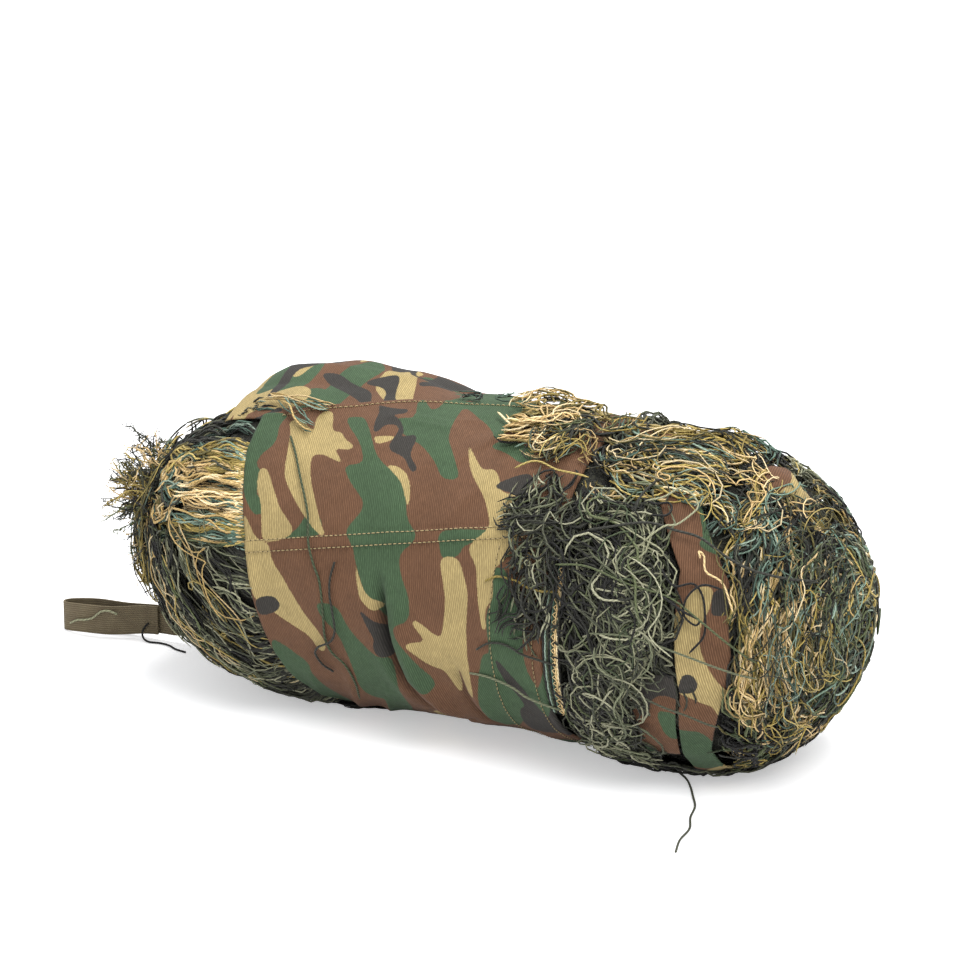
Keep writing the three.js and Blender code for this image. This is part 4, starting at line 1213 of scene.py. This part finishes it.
tuftThreads = [
    # pale threads that run out over the flap from the knot on the top hank
    dict(tone="straw", lift=3.4, size=0.9, route="66,82 47,77 39,71 21,72 1,78"),
    dict(tone="olive", lift=3, size=0.9, route="67,78 63,70 57,65 50,63"),
    dict(tone="straw", lift=4, size=0.8, route="64,86 40,88 22,84 6,86"),
    dict(tone="olive", lift=3.4, size=0.9, route="70,80 52,80 36,78 24,80 14,76"),
    dict(tone="straw", lift=4, size=0.9, route="72,76 58,74 46,68 34,65"),
    dict(tone="teal", lift=3, size=0.8, route="70,72 60,66 48,66 36,62"),
]


def makeLaidThreads():
    layers = [("crossingThreads", crossingThreads, "bundle"), ("tuftThreads", tuftThreads, "flap")]
    for name, laid, body in layers:
        dice = np.random.default_rng(66)
        strands, colours = [], []
        for thread in laid:
            route = throughPoints(numbersIn(thread["route"]))
            sag = 1.2 * np.sin(np.linspace(0, 9, len(route)))
            strands.append(under(route[:, 0], route[:, 1], -thread["lift"] - sag))
            colours.append(pickTone(dice, thread["tone"]))
        piece = threadMesh(name, strands, colours, [thread["size"] for thread in laid], 1)
        attach(piece, "dark_thread", body)


def makeEndCurls():
    # threads that cross the very tips of the roll, where no hank's patch reaches
    curls = dict(reach=0.55, step=0.036, radius=0.8)
    ends = {
        "leftTipThreads": dict(seed=71, side=-1, count=150, tones="black dark dark olive grey teal"),
        "rightTipThreads": dict(seed=72, side=1, count=150, tones="black dark dark green teal olive"),
    }
    for name, end in ends.items():
        dice = np.random.default_rng(end["seed"])
        strands, colours, radii = [], [], []
        for _ in range(end["count"]):
            at = dice.normal(0, 0.26, 2)
            way = dice.uniform(0, 6.3)
            bend = dice.normal(0, 0.12)
            high = dice.uniform(-3, 5)
            line = []
            for _ in range(int(dice.uniform(10, 24))):
                reach = min(math.hypot(*at), curls["reach"])
                angle = math.degrees(math.atan2(at[1], at[0]))
                t = (1 - reach ** 2) ** (1 / roll["roundness"])
                if end["side"] > 0:
                    rightEnd = roll["rightEnd"] + roll["lean"] * math.sin(math.radians(angle))
                    x = roll["right"] - rightEnd * (1 - t) + high
                else:
                    x = roll["left"] + roll["leftEnd"] * (1 - t) - high
                y = -roll["halfWidth"] * reach * math.cos(math.radians(angle))
                z = roll["centreHeight"] + roll["halfHeight"] * reach * math.sin(math.radians(angle))
                line.append((x, y, z))
                bend += dice.normal(0, 0.1)
                way += bend
                at = at + curls["step"] * np.array([math.cos(way), math.sin(way)])
            strands.append(np.array(line))
            tone = pickOne(dice, end["tones"].split())
            # painted shade: threads lying higher are lighter, lower ones darker
            colours.append(pickTone(dice, tone, 0.65 + 0.08 * (high + 3)))
            radii.append(curls["radius"])
        piece = threadMesh(name, strands, colours, radii)
        attach(piece, "dark_thread")


def makeNetTufts():
    # stiff netting frayed into spiky stems with short barbs
    netting = dict(step=3.5, stem=0.55, barb=0.38)
    tufts = {
        "netTuftUpper": dict(seed=61, node="net_tuft_upper", x=(-318, -284), angle=(12, 54), stems=104,
                             reach=50, tones="black dark dark green olive olive straw"),
        "netTuftLower": dict(seed=62, node="net_tuft_lower", x=(-316, -288), angle=(-38, 2), stems=70,
                             reach=24, tones="olive olive straw dark teal black"),
    }
    for name, tuft in tufts.items():
        dice = np.random.default_rng(tuft["seed"])
        strands, colours, radii = [], [], []
        for _ in range(tuft["stems"]):
            x, angle = dice.uniform(*tuft["x"]), dice.uniform(*tuft["angle"])
            at = under(x, angle, 2.0)
            way = under(x, angle, 1.0) - at + np.array([-0.75, -0.1, 0.12]) + dice.normal(0, 0.42, 3)
            tone = pickTone(dice, pickOne(dice, tuft["tones"].split()))
            stem = [at]
            for _ in range(int(tuft["reach"] * dice.uniform(0.5, 1.0) / netting["step"])):
                way = way / np.linalg.norm(way) + dice.normal(0, 0.24, 3)
                stem.append(stem[-1] + way / np.linalg.norm(way) * netting["step"])
            stem = np.array(stem)
            stem[:, 2] = np.maximum(stem[:, 2], 1)
            strands.append(stem)
            colours.append(tone)
            radii.append(netting["stem"])
            for joint in stem[2:]:
                for _ in range(2):
                    barb = way / np.linalg.norm(way) * 0.6 + dice.normal(0, 0.7, 3)
                    barb *= dice.uniform(2.5, 6) / np.linalg.norm(barb)
                    tip = joint + barb + dice.normal(0, 0.6, 3)
                    strands.append(np.array([joint, joint + barb * 0.5, tip]))
                    colours.append(tone)
                    radii.append(netting["barb"])
        piece = threadMesh(name, strands, colours, radii)
        attach(piece, "netting", "bundle", tuft["node"])


def makeHeaderTape():
    # cords laid side by side down the tape, held by zigzag stitches
    tape = dict(left=99.8, right=113, low=-30, high=24, cords=9, cord=0.8, zigzag=0.4)
    tones = "black teal green black teal green straw straw black".split()
    dice = np.random.default_rng(63)
    strands, colours, radii = [], [], []
    angle = np.linspace(tape["high"], tape["low"], 60)
    for k in range(tape["cords"]):
        x = tape["left"] + (tape["right"] - tape["left"]) * k / (tape["cords"] - 1)
        x = x + 1.4 * np.sin(np.radians(angle * 2))
        strands.append(under(x, angle, -1.5 - 0.3 * np.sin(angle * 1.3 + k)))
        colours.append(pickTone(dice, tones[k], 1.15))
        radii.append(tape["cord"])
    zigzag = np.linspace(tape["high"], tape["low"], 90)
    x = tape["left"] + 9 + 1.6 * (np.abs((np.arange(90) % 4) - 2) - 1)
    strands.append(under(x + 1.4 * np.sin(np.radians(zigzag * 2)), zigzag, -2.7))
    colours.append(pickTone(dice, "straw"))
    radii.append(tape["zigzag"])
    piece = threadMesh("headerCords", strands, colours, radii)
    attach(piece, "header_tape", "bundle", "fringe_header_tape")


def throughPoints(points, each=6):
    # a smooth line through chosen points
    padded = np.concatenate([[2 * points[0] - points[1]], points, [2 * points[-1] - points[-2]]])
    out = []
    for a, b, c, d in zip(padded[:-3], padded[1:-2], padded[2:-1], padded[3:]):
        for t in np.arange(each) / each:
            out.append(0.5 * (2 * b + (c - a) * t + (2 * a - 5 * b + 4 * c - d) * t ** 2
                              + (3 * b - a - 3 * c + d) * t ** 3))
    return np.array(out + [points[-1]])


looseThreads = {
    # on the roll: x, angle, lift
    "thread_green": dict(tone="green", slot="teal_thread", onRoll=(
        "-152,52,1.6 -141,46,1.6 -129,38,1.6 -119,31,1.6 -112,25,2.4 -107,17,3.8 -101,10,2.4 -95,4,1.6 "
        "-93,-8,1.6 -94,-16,1.6 -91,-22,1.6 -82,-27,1.6 -80,-36,1.6 -86,-46,1.6 -95,-56,1.6")),
    "thread_black": dict(tone="black", slot="dark_thread", onRoll=(
        "-83,12,1.6 -86,6,1.6 -86,0,1.6 -84,-6,1.7 -83,-12,2.8 -87,-16,4 -94,-18,4.6 -101,-20,3.6 "
        "-107,-24,1.8 -104,-29,1.6 -96,-32,1.6")),
    "thread_dark": dict(tone="dark", slot="dark_thread", onRoll=(
        "42,-9,1.6 52,-6,1.6 63,-5,1.6 74,-6,2 82,-7,3.7 98,-8,3.7 110,-9,2.6")),
    "thread_grey": dict(tone="grey", slot="grey_thread", onRoll=(
        "33,-19,1.6 45,-19,1.6 57,-20,1.6 70,-22,1.8 80,-24,3.6 96,-26,3.8 108,-28,1.8")),
    "thread_olive": dict(tone="olive", slot="olive_thread", onRoll=(
        "48,15,1.6 57,17,1.6 67,17,1.6 76,16.5,2.2 84,15.5,3.7 98,15,3.7 110,16,2.4")),
    # beside the roll: x, y, z
    "thread_floor": dict(tone="dark", slot="dark_thread", inSpace=(
        "168,-46,1.2 181,-57,1.2 191,-70,1.2 201,-86,1.2 211,-103,1.2 217,-123,1.2 226,-143,1.2 "
        "229,-165,1.2 236,-186,1.2")),
    "thread_strap": dict(tone="black", slot="dark_thread", body="strap", inSpace=(
        "-350,1.6,15 -353,0,11 -354,-2,6.5 -351,-4,2.6 -345,-5,1.2 -336,-3,1.2 -326,-4,1.2 -316,-9,1.2 "
        "-305,-11,1.2")),
    "thread_loop": dict(tone="grey", slot="teal_thread", body="loop", inSpace=(
        "-417,-16.4,9 -410,-16.5,13 -402,-16,14.5 -395,-15,17 -391,-14,20.5 -387,-13,23.5 -381,-11.4,24.5 "
        "-374,-9,22")),
}


cordRadius = 0.9


def makeLooseThreads():
    dice = np.random.default_rng(64)
    for name, thread in looseThreads.items():
        if "onRoll" in thread:
            x, angle, lift = numbersIn(thread["onRoll"]).T
            points = under(x, angle, -lift)
        else:
            points = numbersIn(thread["inSpace"])
        line = throughPoints(points)
        label = name.replace("thread_", "loose_")
        piece = threadMesh(label, [line], [pickTone(dice, thread["tone"])], [cordRadius], 1, False)
        attach(piece, thread["slot"], thread.get("body", "bundle"), name)
        length = float(lengthAlong(line)[-1]) * metre
        note(f"{name}: {length * 1000:.0f} mm long")


# the strap

strap = dict(width=25, thickness=1.9, centre=15.5)


def makeRibbon(name, route, columns):
    line = throughPoints(numbersIn(route), 8)
    along = lengthAlong(line)
    bm, flat = newGrid(columns, 12)
    at = flat[:, 0] * along[-1]
    x, y = np.interp(at, along, line[:, 0]), np.interp(at, along, line[:, 1])
    tilt = np.interp(x, [-428, -300], [-2.3, 4])
    z = strap["centre"] + tilt + (flat[:, 1] - 0.5) * strap["width"] + 0.5 * np.sin(at / 9)
    bendGrid(bm, np.stack([x, y, z], 1))
    mapPanel(bm, flat * (along[-1], strap["width"]))
    piece = newPiece(name, bm)
    smooth(piece)
    piece.data.materials.append(strapWebbing)
    addModifier(piece, "SOLIDIFY", thickness=strap["thickness"] * metre, offset=0)
    addModifier(piece, "BEVEL", width=0.0005, segments=2, limit_method="ANGLE")
    return piece, along[-1] * metre


def makeStrap():
    run, runLength = makeRibbon("strapWeb", "-243,15 -262,14.6 -276,14 -296,12 -312,10.4 -330,8.9", 40)
    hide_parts("strap_anchor", "strap_run")
    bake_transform(run)
    loopRoute = ("-330,8.9 -343,8 -356,7.4 -368,6.6 -384,5.2 -400,3.6 -414,1.4 -424,-1.6 -428.2,-6.6 "
                 "-425,-11.8 -416,-14 -402,-13.6 -388,-10.6 -374,-5.6 -362,-0.8 -350,3.2 -342,4.9")
    loop, loopLength = makeRibbon("strapLoopWeb", loopRoute, 150)
    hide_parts("strap_loop", "strap_bar_tack")
    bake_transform(loop)
    rows = []
    for x, low, high in ((-353, -9, 9), (-345, -9, 9)):
        for k in range(6):
            z = strap["centre"] + 1.2 + low + (high - low) * k / 5
            y = 3.3 if x < -350 else 5.2
            rows.append(np.array([(x, y - 1.0, z), (x + 0.3, y - 1.6, z + 1.3), (x, y - 1.0, z + 2.6)]))
    tone = pickTone(np.random.default_rng(65), "dark")
    tack = threadMesh("strapTack", rows, [tone] * len(rows), [0.45] * len(rows))
    attach(tack, "webbing", "strap")


def makeBeds():
    # the imported thread under the loose ones, a dark bed that is partly its own black thread and partly
    # painted shade between them
    bedDepth = 7.5
    beds = {
        "leftBed": dict(tip=-322, end=-112),
        "rightBed": dict(tip=296, end=60),
    }
    for name, bed in beds.items():
        bm, flat = newGrid(60, 120)
        s = alongFromX(bed["tip"]) + (alongFromX(bed["end"]) - alongFromX(bed["tip"])) * flat[:, 0]
        angle = flat[:, 1] * 360 - 90
        x = xFromAlong(s)
        arc = angle * arcPerDegree
        bumps = 2.2 * softNoise(s, arc, 60, 51) + 1.4 * softNoise(s, arc, 24, 52)
        spread = np.sin(np.pi * np.clip(flat[:, 1], 0, 1)) ** 0.5
        depth = bedDepth + settle(x, angle) + bumps * spread * np.clip(flat[:, 0] * 5, 0, 1)
        bendGrid(bm, under(x, angle, depth), mergeWithin=0.0004)
        piece = newPiece(name, bm)
        smooth(piece)
        piece.data.materials.append(shadedPackedThread)
        addModifier(piece, "SOLIDIFY", thickness=0.0015, offset=-1)
        attach(piece, "dark_thread")


def finishHiddenNodes():
    looks = {
        "jacket_outer_ply": rolledCloth, "jacket_inner_ply": rolledCloth, "trouser_leg_left": rolledCloth,
        "trouser_leg_right": rolledCloth, "trouser_waistband": rolledCloth, "left_inner_hank": shadedPackedThread,
        "right_inner_hank": shadedPackedThread,
    }
    for name, material in looks.items():
        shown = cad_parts[name]
        shown.data.materials.clear()
        shown.data.materials.append(material)


makeCamera()
makeStudio()
twistGroup = makeTwistGroup()
twistedThread = makeThreadMaterial()
makeLooseThreads()
waleGroup = makeWaleGroup()
camoCloth = makeCamoMaterial()
shadedPackedThread = makeBedMaterial()
strapWebbing = makeWebbingMaterial()
rolledCloth = makeHiddenClothMaterial()
note("materials made")
makeWrap()
makeStitches()
makeSidePanels()
makeStrap()
note("cloth panels and strap made")
makeBeds()
makeLeftHanks()
makeRightHanks()
makeNetTufts()
makeEndCurls()
makeLaidThreads()
makeHeaderTape()
finishHiddenNodes()

bpy.context.view_layer.update()
